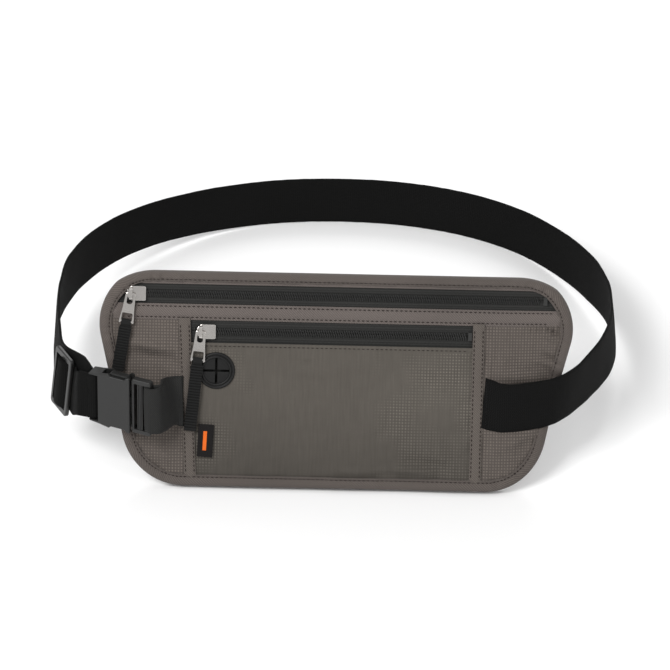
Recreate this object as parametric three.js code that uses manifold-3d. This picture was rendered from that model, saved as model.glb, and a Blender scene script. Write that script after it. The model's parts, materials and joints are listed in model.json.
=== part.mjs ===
// Money belt: a flat zipped pouch on a webbing waist strap, standing on a table in a closed loop.
// Millimetres, +Z up. X runs to the wearer's left across the front, and the front of the pouch looks along -Y.
// The pouch leans back on its bottom edge, and the strap comes down to the table behind it.
import * as THREE from "three";
import { mergeVertices } from "three/addons/utils/BufferGeometryUtils.js";
import Module from "manifold-3d";

const wasm = await Module();
wasm.setup();

// ---------------------------------------------------------------- driving dimensions
const GAP = 0.3;                  // clearance between touching pieces
const LEAN = 20;                  // degrees that the pouch leans back

const POUCH_HEIGHT = 131;
const TOP_HALF = 149;             // half-width where the side lines meet the top line
const BOTTOM_HALF = 119;          // half-width where the side lines meet the bottom line
const TOP_RADIUS = 34;
const BOTTOM_RADIUS = 38;
const BINDING = 7;                // face width of the edge binding

const CLOTH = 0.6;                // thickness of one layer of pouch fabric
const PANEL_BACK = [-1.6, 1.2];   // depth range of the padded back panel
const LINING_DEPTH = 1.6;         // back of the main pocket's lining
const DIVIDER_DEPTH = 2.7;        // back of the divider behind the front pocket
const ZIP_DEPTH = 4.5;            // back of the zip tapes
const FRONT_DEPTH = 5.3;          // back of the front panels
const BINDING_DEPTH = [-0.9, 6.8];
const BINDING_WALL = 0.8;         // thickness of the binding at the very edge
const FACE = FRONT_DEPTH + CLOTH; // depth of the outer face of the front panels
const TAPE_DEPTH = FACE + GAP;    // the vertical tapes lie on the panels

const UPPER_ZIP = { low: 109.6, high: 121.4, left: -122.5, right: 122.5, slider: -117.6 };
const LOWER_ZIP = { low: 86.8, high: 100.2, left: -84.5, right: 79, slider: -76.5 };
const TAPE_WIDTH = 7;
const TAPE_LEFT = [-84.6, -89.4]; // centre of the left tape at the bottom and at the top
const TAPE_RIGHT = [83, 83];

const WEBBING = 30;
const WEBBING_THICK = 1.3;
const SEAM_HEIGHT = 50;           // height of the strap's centre line where it is sewn to the pouch

const BUCKLE_AT = new THREE.Vector3(-125, 0.2, 57);
const BUCKLE_TURN = 24;           // degrees that the buckle turns back at its free end
const BUCKLE_HALF = 18.7;         // half-width across the socket's mouth
const SOCKET = { left: -19.7, plate: -13.8, mouth: 7.05, depth: 4.1 };
const PLUG = { left: 7.4, right: 19.9, half: 18.3, depth: 2.2 };
const SLOT_HALF = 15.6;           // half-length of a webbing slot

const GLIDE_AT = new THREE.Vector3(-162, 32, 50);
const GLIDE_RADIUS = 83;          // plan radius of the stretch that the tri-glide slides along
const GLIDE_TURN = 62;            // degrees that the tri-glide is turned back
const GLIDE_LEAN = -7;
const GLIDE_LENGTH = 22;
const GLIDE_HALF = 19;
const BEHIND_GLIDE = 4.2;         // the long strap passes this far behind the tri-glide's middle plane

const SLIDER_LENGTH = 11;
const PULLER_LENGTH = 18.5;
const TAB_LENGTHS = { upper: 30, lower: 43 };
const PORT_AT = [-70.4, 70.2];
const PORT_RADIUS = 11;
const PORT_NECK = 7;              // radius of the port where it passes through the panel

const COLOURS = {
  fabric: [0x645d57, 0.85, 0],
  lining: [0x3c3a38, 0.9, 0],
  mesh: [0x2a2a2a, 0.95, 0],
  binding: [0x69605c, 0.85, 0],
  zip: [0x2e2e2c, 0.7, 0],
  webbing: [0x1b1b1b, 0.85, 0],
  plastic: [0x3a3a39, 0.5, 0],
  nickel: [0xcac4bc, 0.25, 1],
  rubber: [0x222220, 0.7, 0],
  thread: [0x35302d, 0.9, 0],
  label: [0x1c1a19, 0.7, 0],
};

// ---------------------------------------------------------------- helpers
const radians = THREE.MathUtils.degToRad;

function solid(geometry) {
  const bare = geometry.clone();
  bare.deleteAttribute("normal");
  bare.deleteAttribute("uv");
  const merged = mergeVertices(bare, 1e-4);
  return new wasm.Manifold(new wasm.Mesh({
    numProp: 3,
    vertProperties: merged.attributes.position.array,
    triVerts: new Uint32Array(merged.index.array),
  }));
}

function geometryOf(body) {
  const mesh = body.getMesh();
  const geometry = new THREE.BufferGeometry();
  geometry.setAttribute("position", new THREE.BufferAttribute(mesh.vertProperties, 3));
  geometry.setIndex(new THREE.BufferAttribute(mesh.triVerts, 1));
  const flat = geometry.toNonIndexed();
  flat.computeVertexNormals();
  return flat;
}

function add(group, name, body, colour) {
  const [hex, roughness, metalness] = COLOURS[colour];
  const material = new THREE.MeshStandardMaterial({ color: hex, roughness, metalness });
  const mesh = new THREE.Mesh(body.isBufferGeometry ? body : geometryOf(body), material);
  mesh.name = name;
  group.add(mesh);
  return mesh;
}

// A closed outline through corner points [x, y, radius], each rounded by its own radius.
function outline(corners) {
  const shape = new THREE.Shape();
  corners.forEach(([x, y, radius], i) => {
    const corner = new THREE.Vector2(x, y);
    const before = new THREE.Vector2(...corners.at(i - 1).slice(0, 2)).sub(corner).normalize();
    const next = corners[(i + 1) % corners.length];
    const after = new THREE.Vector2(next[0], next[1]).sub(corner).normalize();
    if (!radius) {
      if (i === 0) shape.moveTo(x, y);
      else shape.lineTo(x, y);
      return;
    }
    const half = Math.acos(before.dot(after)) / 2;
    const reach = radius / Math.tan(half);
    const start = corner.clone().addScaledVector(before, reach);
    const end = corner.clone().addScaledVector(after, reach);
    const middle = before.clone().add(after).normalize();
    const centre = corner.clone().addScaledVector(middle, radius / Math.sin(half));
    const clockwise = before.cross(after) > 0;
    if (i === 0) shape.moveTo(start.x, start.y);
    else shape.lineTo(start.x, start.y);
    const from = Math.atan2(start.y - centre.y, start.x - centre.x);
    const to = Math.atan2(end.y - centre.y, end.x - centre.x);
    shape.absarc(centre.x, centre.y, radius, from, to, clockwise);
  });
  shape.closePath();
  return shape;
}

const rectangle = (x0, y0, x1, y1, radius = 0) =>
  outline([[x0, y0, radius], [x1, y0, radius], [x1, y1, radius], [x0, y1, radius]]);

// A plate in the upright plane: the shape's x and y become X and Z, and depth runs out along -Y.
function plate(shape, depths, { bevel = 0, steps = 5, rounds = 2 } = {}) {
  const [near, far] = depths;
  const geometry = new THREE.ExtrudeGeometry(shape, {
    depth: far - near - 2 * bevel,
    bevelEnabled: bevel > 0,
    bevelSize: bevel,
    bevelThickness: bevel,
    bevelOffset: -bevel,
    bevelSegments: rounds,
    curveSegments: steps,
  });
  return geometry.translate(0, 0, near + bevel).rotateX(Math.PI / 2);
}

const box = (x0, x1, d0, d1, z0, z1) => solid(
  new THREE.BoxGeometry(x1 - x0, d1 - d0, z1 - z0)
    .translate((x0 + x1) / 2, -(d0 + d1) / 2, (z0 + z1) / 2));

// A flat band swept along stations of centre, tangent and width direction.
function band(stations, width, thick) {
  const points = [];
  const faces = [];
  stations.forEach(({ centre, tangent, up }, i) => {
    const out = new THREE.Vector3().crossVectors(tangent, up).normalize();
    for (const [a, b] of [[-1, -1], [1, -1], [1, 1], [-1, 1]]) {
      points.push(...centre.clone()
        .addScaledVector(up, a * width / 2)
        .addScaledVector(out, b * thick / 2).toArray());
    }
    if (i === 0) return;
    const p = 4 * (i - 1);
    for (let k = 0; k < 4; k += 1) {
      const m = (k + 1) % 4;
      faces.push(p + k, p + 4 + k, p + m, p + m, p + 4 + k, p + 4 + m);
    }
  });
  const last = points.length / 3 - 4;
  faces.push(0, 1, 2, 0, 2, 3, last, last + 2, last + 1, last, last + 3, last + 2);
  const geometry = new THREE.BufferGeometry();
  geometry.setAttribute("position", new THREE.Float32BufferAttribute(points, 3));
  geometry.setIndex(faces);
  const body = solid(geometry);
  return body.volume() < 0 ? solid(flipped(geometry)) : body;
}

function flipped(geometry) {
  const turned = geometry.clone();
  turned.setIndex(Array.from(geometry.index.array).reverse());
  return turned;
}

// ---------------------------------------------------------------- pouch
const model = new THREE.Group();
const pouch = new THREE.Group();
pouch.rotation.x = -radians(LEAN);
model.add(pouch);

const sideSlope = Math.atan2(TOP_HALF - BOTTOM_HALF, POUCH_HEIGHT);

// The pouch's outline moved inward by a distance.
function pouchOutline(inset) {
  const square = inset / Math.cos(sideSlope);
  const rise = inset * Math.tan(sideSlope);
  const bottom = BOTTOM_HALF - square + rise;
  const top = TOP_HALF - square - rise;
  return outline([
    [-bottom, inset, BOTTOM_RADIUS - inset],
    [bottom, inset, BOTTOM_RADIUS - inset],
    [top, POUCH_HEIGHT - inset, TOP_RADIUS - inset],
    [-top, POUCH_HEIGHT - inset, TOP_RADIUS - inset],
  ]);
}

const pouchPlate = (inset, depths) => solid(plate(pouchOutline(inset), depths, { steps: 7 }));
const panelInset = BINDING_WALL + GAP;
const facePiece = (shape, depths) => solid(plate(shape, depths)).intersect(pouchPlate(panelInset, depths));

const WIDE = TOP_HALF + 5;
const layer = (back, thick = CLOTH) => [back, back + thick];
const FRONT = layer(FRONT_DEPTH);

const backSheet = pouchPlate(panelInset, [0, PANEL_BACK[1]]);
const backPad = pouchPlate(BINDING + 1.5, [PANEL_BACK[0], PANEL_BACK[1] / 2]);
add(pouch, "back_panel", backSheet.add(backPad), "mesh");
add(pouch, "main_pocket_lining", pouchPlate(panelInset, layer(LINING_DEPTH)), "lining");
add(pouch, "front_pocket_lining", pouchPlate(panelInset, layer(DIVIDER_DEPTH)), "lining");

// The binding folds over the edge of every layer: a channel section that runs round the outline.
const bindingRing = pouchPlate(0, BINDING_DEPTH)
  .subtract(pouchPlate(BINDING, [BINDING_DEPTH[0] - 1, BINDING_DEPTH[1] + 1]))
  .subtract(pouchPlate(BINDING_WALL, [BINDING_DEPTH[0] + CLOTH, BINDING_DEPTH[1] - CLOTH]));
add(pouch, "edge_binding", bindingRing, "binding");

// Inner edge of a tape's centre line at a height, between its bottom and top places.
const tapeAt = ([bottom, top], height) => THREE.MathUtils.lerp(bottom, top, height / LOWER_ZIP.high);

function tapeShape(places) {
  const high = LOWER_ZIP.high + 1.5;
  const half = TAPE_WIDTH / 2;
  const low = BINDING + GAP;
  return outline([
    [tapeAt(places, low) - half, low, 0],
    [tapeAt(places, low) + half, low, 0],
    [tapeAt(places, high) + half, high, 0],
    [tapeAt(places, high) - half, high, 0],
  ]);
}

function wingShape(places, sign) {
  const high = LOWER_ZIP.high - GAP;
  const inner = (height) => tapeAt(places, height) + sign * GAP / 2;
  const corners = [[inner(0), 0, 0], [sign * WIDE, 0, 0], [sign * WIDE, high, 0], [inner(high), high, 0]];
  return outline(sign > 0 ? corners : corners.reverse());
}

add(pouch, "top_strip", facePiece(
  rectangle(-WIDE, UPPER_ZIP.high, WIDE, POUCH_HEIGHT + 5), FRONT), "fabric");
add(pouch, "middle_strip", facePiece(
  rectangle(-WIDE, LOWER_ZIP.high, WIDE, UPPER_ZIP.low), FRONT), "fabric");
add(pouch, "left_wing", facePiece(wingShape(TAPE_LEFT, -1), FRONT), "fabric");
add(pouch, "right_wing", facePiece(wingShape(TAPE_RIGHT, 1), FRONT), "fabric");

const panelTop = LOWER_ZIP.low;
const pocketShape = outline([
  [tapeAt(TAPE_LEFT, 0) + GAP / 2, 0, 0],
  [tapeAt(TAPE_RIGHT, 0) - GAP / 2, 0, 0],
  [tapeAt(TAPE_RIGHT, panelTop) - GAP / 2, panelTop, 0],
  [tapeAt(TAPE_LEFT, panelTop) + GAP / 2, panelTop, 0],
]);
const portHole = solid(new THREE.CylinderGeometry(PORT_NECK + 0.5, PORT_NECK + 0.5, 4, 32)
  .translate(PORT_AT[0], -FRONT_DEPTH, PORT_AT[1]));
add(pouch, "lower_pocket_panel", facePiece(pocketShape, FRONT).subtract(portHole), "fabric");
for (const [side, places] of [["left", TAPE_LEFT], ["right", TAPE_RIGHT]]) {
  add(pouch, "pocket_tape_" + side, solid(plate(tapeShape(places), layer(TAPE_DEPTH))), "fabric");
}

// ---------------------------------------------------------------- earphone port
const portGroup = new THREE.Group();
portGroup.position.set(PORT_AT[0], -FACE, PORT_AT[1]);
pouch.add(portGroup);

// A turned piece whose profile is [radius, depth], with depth running out along -Y.
function turned(profile, steps) {
  const points = profile.map(([radius, depth]) => new THREE.Vector2(radius, depth));
  const body = solid(new THREE.LatheGeometry(points, steps).rotateX(Math.PI));
  return body.volume() > 0 ? body : solid(new THREE.LatheGeometry(points.reverse(), steps).rotateX(Math.PI));
}

const ringProfile = [
  [5.6, -1.4], [PORT_NECK, -1.4], [PORT_NECK, 0.2],
  [PORT_RADIUS, 0.2], [PORT_RADIUS, 0.8], [PORT_RADIUS - 0.4, 1.2],
  [9.7, 1.2], [9.3, 0.8], [8.5, 0.8], [8.1, 1.2], [5.6, 1.2], [5.6, -1.4],
];
const washerProfile = [[7.8, -1.9], [10.5, -1.9], [10.5, -0.9], [7.8, -0.9], [7.8, -1.9]];
const slits = box(-4.6, 4.6, -2, 2, -0.7, 0.7).add(box(-0.7, 0.7, -2, 2, -4.6, 4.6));
add(portGroup, "port_ring", turned(ringProfile, 40), "rubber");
add(portGroup, "port_washer", turned(washerProfile, 32), "rubber");
add(portGroup, "port_flaps", turned([[0, 0], [5.3, 0], [5.3, 0.9], [0, 0.9]], 32).subtract(slits), "rubber");

// ---------------------------------------------------------------- zips
const COIL_WIDTH = 2.2;
const COIL_THICK = 1;
const COIL_DEPTH = ZIP_DEPTH + CLOTH + GAP / 2;
const CAP_DEPTH = COIL_DEPTH + COIL_THICK + GAP;
const CAP_THICK = 0.8;
const ARCH_OFFSET = -3.2;         // the arch stands towards the slider's nose
const PULL_THICK = 1.3;
const PULL_DEPTH = CAP_DEPTH + CAP_THICK + 0.35 + PULL_THICK / 2;
const PIN_DROP = 16.6;            // from the arch down to the pin that carries the grip
const PIN_RADIUS = 0.6;

// A plate in the plane across the slider: the shape's x is depth and its y is height, swept along X.
function across(shape, x0, x1, bevel = 0) {
  const geometry = new THREE.ExtrudeGeometry(shape, {
    depth: x1 - x0 - 2 * bevel,
    bevelEnabled: bevel > 0,
    bevelSize: bevel,
    bevelThickness: bevel,
    bevelOffset: -bevel,
    bevelSegments: 2,
    curveSegments: 4,
  });
  return solid(geometry.translate(0, 0, bevel - x1).applyMatrix4(new THREE.Matrix4().set(
    0, 0, -1, 0,
    -1, 0, 0, 0,
    0, 1, 0, 0,
    0, 0, 0, 1)));
}

// The slider: a cap with side flanges over the coil, and an arch that holds the pull.
function sliderBody() {
  const half = SLIDER_LENGTH / 2;
  const nose = -half + 2.4;
  const cap = solid(plate(outline([
    [-half, -1.9, 0.7], [nose, -4.3, 1], [half, -4.3, 1], [half, 4.3, 1], [nose, 4.3, 1], [-half, 1.9, 0.7],
  ]), [CAP_DEPTH, CAP_DEPTH + CAP_THICK], { bevel: 0.2, steps: 3 }));
  const flangeFoot = ZIP_DEPTH + CLOTH + 0.15;
  const flange = (z0, z1) => box(nose + 2.2, half - 0.8, flangeFoot, CAP_DEPTH + 0.3, z0, z1);
  const archTop = PULL_DEPTH + PULL_THICK / 2 + 1.2;
  const archFoot = CAP_DEPTH + 0.3;
  const archBlock = across(rectangle(archFoot, -3.7, archTop, 3.7, 1.1),
    ARCH_OFFSET - 0.95, ARCH_OFFSET + 0.95, 0.25);
  const underArch = across(rectangle(archFoot - 2, -2.6, archTop - 0.85, 2.6, 0.5),
    ARCH_OFFSET - 2, ARCH_OFFSET + 2);
  const arch = archBlock.subtract(underArch);
  return cap.add(flange(2.7, 3.5)).add(flange(-3.5, -2.7)).add(arch);
}

// The pull hangs from the arch: a ring at the top, a solid bar below it, and a fork with a pin at its foot.
function puller() {
  const depths = [-PULL_THICK / 2, PULL_THICK / 2];
  const body = solid(plate(outline([
    [-2.9, 0.7, 1.3], [2.9, 0.7, 1.3], [3.5, -9, 0], [4.5, -PULLER_LENGTH + 0.7, 0.9],
    [-4.5, -PULLER_LENGTH + 0.7, 0.9], [-3.5, -9, 0],
  ]), depths, { bevel: 0.25, steps: 4 }));
  const cutDepths = [-2, 2];
  const eye = solid(plate(outline([
    [-1.75, -0.75, 0.8], [1.75, -0.75, 0.8], [1.75, -6.2, 1.4], [-1.75, -6.2, 1.4],
  ]), cutDepths, { steps: 4 }));
  const fork = solid(plate(outline([
    [-3.1, -11.6, 0.8], [3.1, -11.6, 0.8], [3.35, -PULLER_LENGTH - 1, 0], [-3.35, -PULLER_LENGTH - 1, 0],
  ]), cutDepths, { steps: 3 }));
  const recess = box(-2.1, 2.1, PULL_THICK / 2 - 0.25, 2, -10.6, -7.6);
  const pin = solid(new THREE.CylinderGeometry(PIN_RADIUS, PIN_RADIUS, 7.4, 12).rotateZ(Math.PI / 2)
    .translate(0, 0, -PIN_DROP));
  return body.subtract(eye).subtract(fork).subtract(recess).add(pin);
}

// The moulded grip: its round head turns on the pin clear of the pouch, and its front is ribbed.
function pullTab(length) {
  const pitch = 1.65;
  const head = 1.5;
  const back = -1.05;
  const front = 0.95;
  const side = new THREE.Shape();
  side.moveTo(back, 0.3);
  side.lineTo(back, -length + 0.5);
  side.lineTo(back + 0.5, -length);
  side.lineTo(front - 0.4, -length);
  for (let low = -length + 0.6; low < -3.5; low += pitch) {
    side.lineTo(front - 0.45, low);
    side.lineTo(front, low + 0.35);
    side.lineTo(front, low + pitch - 0.5);
    side.lineTo(front - 0.45, low + pitch - 0.15);
  }
  side.lineTo(front + 0.2, -1.6);
  side.lineTo(front + 0.2, head - 0.7);
  side.lineTo(front - 0.4, head);
  side.lineTo(-0.1, head - 0.1);
  side.lineTo(-0.5, head - 0.45);
  side.closePath();
  const body = across(side, -4, 4);
  const face = solid(plate(outline([
    [-2.85, head + 0.1, 0.8], [2.85, head + 0.1, 0.8], [2.85, -2.2, 0], [3.6, -4.2, 0.8], [3.6, -length, 1.1],
    [-3.6, -length, 1.1], [-3.6, -4.2, 0.8], [-2.85, -2.2, 0],
  ]), [-3, 3], { steps: 4 }));
  const bore = solid(new THREE.CylinderGeometry(PIN_RADIUS + 0.22, PIN_RADIUS + 0.22, 10, 12)
    .rotateZ(Math.PI / 2));
  return body.intersect(face).subtract(bore);
}

const ZIPS = [
  ["upper", UPPER_ZIP, 9],
  ["lower", LOWER_ZIP, 5.5],
];

for (const [name, zip, slant] of ZIPS) {
  const centre = (zip.low + zip.high) / 2;
  const tapeDepths = layer(ZIP_DEPTH);
  const reach = name === "upper" ? WIDE : 0;
  const tapeEnds = reach ? [-reach, reach] : [zip.left - 4, zip.right + 5];
  const halves = [
    ["top", centre + GAP / 2, zip.high + 1.2],
    ["bottom", zip.low - 2.5, centre - GAP / 2],
  ];
  for (const [half, low, high] of halves) {
    const body = solid(plate(rectangle(tapeEnds[0], low, tapeEnds[1], high), tapeDepths));
    add(pouch, name + "_zip_tape_" + half, body.intersect(pouchPlate(panelInset, tapeDepths)), "zip");
    const edge = half === "top" ? [centre + GAP / 2, centre + GAP / 2 + COIL_WIDTH]
      : [centre - GAP / 2 - COIL_WIDTH, centre - GAP / 2];
    add(pouch, name + "_zip_coil_" + half,
      box(zip.left + 0.6, zip.right - 2.6, COIL_DEPTH, COIL_DEPTH + COIL_THICK, ...edge), "zip");
  }
  add(pouch, name + "_zip_stop",
    box(zip.right - 2.2, zip.right, COIL_DEPTH, COIL_DEPTH + 1.2, centre - 2.4, centre + 2.4), "zip");

  const slider = new THREE.Group();
  slider.position.set(zip.slider, 0, centre);
  pouch.add(slider);
  add(slider, name + "_slider_body", sliderBody(), "nickel");
  const hanging = new THREE.Group();
  hanging.position.set(ARCH_OFFSET, -PULL_DEPTH, 0);
  hanging.rotation.y = radians(slant);
  slider.add(hanging);
  add(hanging, name + "_puller", puller(), "nickel");
  const tab = add(hanging, name + "_pull_tab", pullTab(TAB_LENGTHS[name]), "rubber");
  tab.position.set(0, 0, -PIN_DROP);
}

// ---------------------------------------------------------------- side tag
const tagPlace = [tapeAt(TAPE_LEFT, 28) + TAPE_WIDTH / 2 + 1, 18.5];
const tag = box(0, 9.3, FACE + 0.25, FACE + 0.25 + 1, 0, 19.5);
const tagMesh = add(pouch, "side_tag", tag, "label");
tagMesh.position.set(tagPlace[0], 0, tagPlace[1]);
tagMesh.rotation.y = radians(2.5);

// ---------------------------------------------------------------- buckle
const buckle = new THREE.Group();
buckle.position.copy(BUCKLE_AT);
buckle.rotation.z = -radians(BUCKLE_TURN);
model.add(buckle);

const ARM = { tip: -10.5, buttonLeft: -6.8, buttonRight: 4.9, root: 6.9, depth: 2 };

function socketBody() {
  const h = BUCKLE_HALF;
  const half = [
    [SOCKET.mouth, h, 0.8], [ARM.buttonRight, h, 0], [ARM.buttonRight - 1.5, h - 1.6, 1],
    [ARM.buttonLeft + 1.5, h - 1.6, 1], [ARM.buttonLeft, h - 0.3, 0.8], [SOCKET.plate, h - 1.6, 1.5],
    [SOCKET.left, h - 2.2, 1.2],
  ];
  const mirrored = half.map(([x, z, radius]) => [x, -z, radius]).reverse();
  const depths = [-SOCKET.depth, SOCKET.depth];
  const shell = solid(plate(outline([...mirrored, ...half]), depths, { bevel: 0.55, steps: 4, rounds: 3 }));
  const channel = box(ARM.tip - 1, SOCKET.mouth + 2, -ARM.depth - 0.5, ARM.depth + 0.5, -h - 2, h + 2);
  const rail = (z) => box(ARM.tip - 2, SOCKET.mouth - 1, -ARM.depth - 1, ARM.depth + 1, z - 0.6, z + 0.6);
  const slot = box(-16.7, -13.6, -9, 9, -SLOT_HALF, SLOT_HALF);
  const barFace = (d0, d1) => box(SOCKET.left - 2, -16.6, d0, d1, -SLOT_HALF, SLOT_HALF);
  return shell.subtract(channel).add(rail(7)).add(rail(-7)).subtract(slot)
    .subtract(barFace(1.5, 9)).subtract(barFace(-9, -1.5));
}

function plugBody() {
  const depths = [-PLUG.depth, PLUG.depth];
  const frame = solid(plate(rectangle(PLUG.left, -PLUG.half, PLUG.right, PLUG.half, 1.6), depths,
    { bevel: 0.6, steps: 4, rounds: 3 }));
  const slot = (x0, x1) => box(x0, x1, -6, 6, -SLOT_HALF, SLOT_HALF);
  const barFace = (d0, d1) => box(17, PLUG.right + 2, d0, d1, -SLOT_HALF, SLOT_HALF);
  const ribs = Array.from({ length: 3 }, (_, i) => box(11.5 + i, 12 + i, 1, PLUG.depth - 0.1, -15.7, 15.7));
  const bar = box(11.2, 14.6, -PLUG.depth + 0.6, PLUG.depth - 0.5, -15.8, 15.8);
  const tongue = solid(plate(rectangle(-8.5, -5.4, PLUG.left + 1, 5.4, 1.2), [-1.7, 1.7], { bevel: 0.4 }));
  const window = box(-5.5, 3, -6, 6, -2.6, 2.6);
  const body = frame.subtract(slot(9.2, 17)).subtract(barFace(1.25, 6)).subtract(barFace(-6, -1.25));
  return ribs.reduce((whole, rib) => whole.add(rib), body.add(bar)).add(tongue.subtract(window));
}

// A release arm: it springs from the plug's shoulder, and its thumb button fills the socket's side opening.
function armBody(sign) {
  const profile = [
    [ARM.root, 9.6, 0.8], [ARM.root, 13.6, 0.9], [ARM.buttonRight - 0.4, BUCKLE_HALF - 0.2, 1.2],
    [ARM.buttonLeft + 0.6, BUCKLE_HALF - 0.2, 1.6], [ARM.tip, 13.4, 1.2], [ARM.tip, 10.8, 0.8],
    [ARM.buttonLeft + 2, 11.2, 1], [0, 9.8, 1],
  ];
  const corners = sign > 0 ? profile : profile.map(([x, z, radius]) => [x, -z, radius]).reverse();
  return solid(plate(outline(corners), [-ARM.depth, ARM.depth], { bevel: 0.4, steps: 4 }));
}

add(buckle, "buckle_socket", socketBody(), "plastic");
add(buckle, "buckle_plug", plugBody(), "plastic");
add(buckle, "buckle_arm_upper", armBody(1), "plastic");
add(buckle, "buckle_arm_lower", armBody(-1), "plastic");

// ---------------------------------------------------------------- tri-glide
const glide = new THREE.Group();
const glideTurn = radians(GLIDE_TURN);
const glideAlong = new THREE.Vector3(Math.cos(glideTurn), -Math.sin(glideTurn), 0);
const glideOut = new THREE.Vector3(-Math.sin(glideTurn), -Math.cos(glideTurn), 0);
const glideUp = new THREE.Vector3(0, 0, Math.cos(radians(GLIDE_LEAN)))
  .addScaledVector(glideOut, Math.sin(radians(GLIDE_LEAN)));
const glideFace = new THREE.Vector3().crossVectors(glideUp, glideAlong);
glide.matrixAutoUpdate = false;
glide.matrix.makeBasis(glideAlong, glideFace, glideUp).setPosition(GLIDE_AT);
model.add(glide);

const halfGlide = GLIDE_LENGTH / 2;
const BAR = 2.5;
const midBar = 1.5;
const glideFrame = solid(plate(rectangle(-halfGlide, -GLIDE_HALF, halfGlide, GLIDE_HALF, 2.6), [-1.25, 1.25],
  { bevel: 0.7, steps: 5, rounds: 3 }));
const glideSlot = (x0, x1) =>
  solid(plate(rectangle(x0, -SLOT_HALF, x1, SLOT_HALF, 0.8), [-4, 4], { steps: 3 }));
add(glide, "triglide", glideFrame
  .subtract(glideSlot(-halfGlide + BAR, -midBar)).subtract(glideSlot(midBar, halfGlide - BAR))
  .subtract(box(-midBar - 0.1, midBar + 0.1, 0.9, 4, -SLOT_HALF, SLOT_HALF))
  .subtract(box(-midBar - 0.1, midBar + 0.1, -4, -0.9, -SLOT_HALF, SLOT_HALF)), "plastic");

// A band in a group's own plane, along [x, depth] points, as wide as the webbing.
function localBand(points, count, thick = WEBBING_THICK) {
  const curve = new THREE.CatmullRomCurve3(
    points.map(([x, depth]) => new THREE.Vector3(x, -depth, 0)), false, "centripetal");
  const stations = Array.from({ length: count + 1 }, (_, i) => ({
    centre: curve.getPointAt(i / count),
    tangent: curve.getTangentAt(i / count),
    up: new THREE.Vector3(0, 0, 1),
  }));
  return band(stations, WEBBING, thick);
}

// The strap's sewn end is a sleeve round the middle bar, and the long strap rides over it.
const sleeve = rectangle(-2.9, -2.05, 2.9, 2.05, 1.2);
sleeve.holes.push(rectangle(-1.85, -1.2, 1.85, 1.2, 0.4));
const sleeveBody = new THREE.ExtrudeGeometry(sleeve, { depth: WEBBING, bevelEnabled: false, curveSegments: 4 });
add(glide, "strap_end_sleeve", solid(sleeveBody.translate(0, 0, -WEBBING / 2)), "webbing");
add(glide, "strap_over_bar", localBand([
  [-10.6, -2.15], [-8.4, -2.05], [-6.6, -1.1], [-5, 0.9], [-3.2, 2.6], [0, 3.05], [3.2, 2.6], [5, 0.9],
  [6.6, -1.1], [8.4, -2.05], [10.6, -2.15],
], 26, 1.1), "webbing");
add(buckle, "strap_socket_loop", localBand([
  [-20.6, -2.7], [-18.2, -2.6], [-16, -2], [-15.2, 0], [-16, 2], [-18.2, 2.6], [-20.6, 2.7],
], 16, 1.2), "webbing");

// ---------------------------------------------------------------- strap
// Places on the pouch's face, on the buckle and on the tri-glide, in the model's frame.
model.updateMatrixWorld(true);
const onPouch = (u, v, depth) => new THREE.Vector3(u, -depth, v).applyMatrix4(pouch.matrixWorld);
const onBuckle = (x, depth) => new THREE.Vector3(x, -depth, 0).applyMatrix4(buckle.matrixWorld);
const onGlide = (x, depth) => new THREE.Vector3(x, -depth, 0).applyMatrix4(glide.matrix);
const at = (x, y, z) => new THREE.Vector3(x, y, z);

// A strap through [place, lean] pairs: the lean is how far its top edge tips outward, in degrees.
function strapStations(route, count) {
  const curve = new THREE.CatmullRomCurve3(route.map(([place]) => place), false, "centripetal");
  return Array.from({ length: count + 1 }, (_, i) => {
    const share = i / count;
    const tangent = curve.getTangentAt(share);
    const along = curve.getUtoTmapping(share) * (route.length - 1);
    const first = Math.min(Math.floor(along), route.length - 2);
    const lean = radians(THREE.MathUtils.lerp(route[first][1], route[first + 1][1], along - first));
    const outward = new THREE.Vector3(tangent.y, -tangent.x, 0).normalize();
    const up = new THREE.Vector3(0, 0, Math.cos(lean)).addScaledVector(outward, Math.sin(lean));
    return { centre: curve.getPointAt(share), tangent, up };
  });
}

const strap = (name, route, count) =>
  add(model, name, band(strapStations(route, count), WEBBING, WEBBING_THICK), "webbing");

const seamRight = tapeAt(TAPE_RIGHT, SEAM_HEIGHT) + TAPE_WIDTH / 2 + GAP;
const seamLeft = tapeAt(TAPE_LEFT, SEAM_HEIGHT + WEBBING / 2) - TAPE_WIDTH / 2 - 2 * GAP;
const seamDepth = FACE + GAP + WEBBING_THICK / 2;

strap("strap_right_end", [
  [onPouch(seamRight, SEAM_HEIGHT, seamDepth), -LEAN],
  [onPouch(104, SEAM_HEIGHT, seamDepth), -LEAN],
  [onPouch(117, SEAM_HEIGHT, seamDepth + 0.1), -LEAN],
  [onPouch(125, 49.5, 8.5), -LEAN],
  [onPouch(134, 49, 9), -LEAN],
  [at(141.5, 13.5, 48.5), -17],
  [at(146.5, 22, 47.5), -14],
  [at(151, 35, 46), -11],
  [at(157, 57, 44), -9],
  [at(162.5, 84, 40.8), -7],
], 44);

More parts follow.
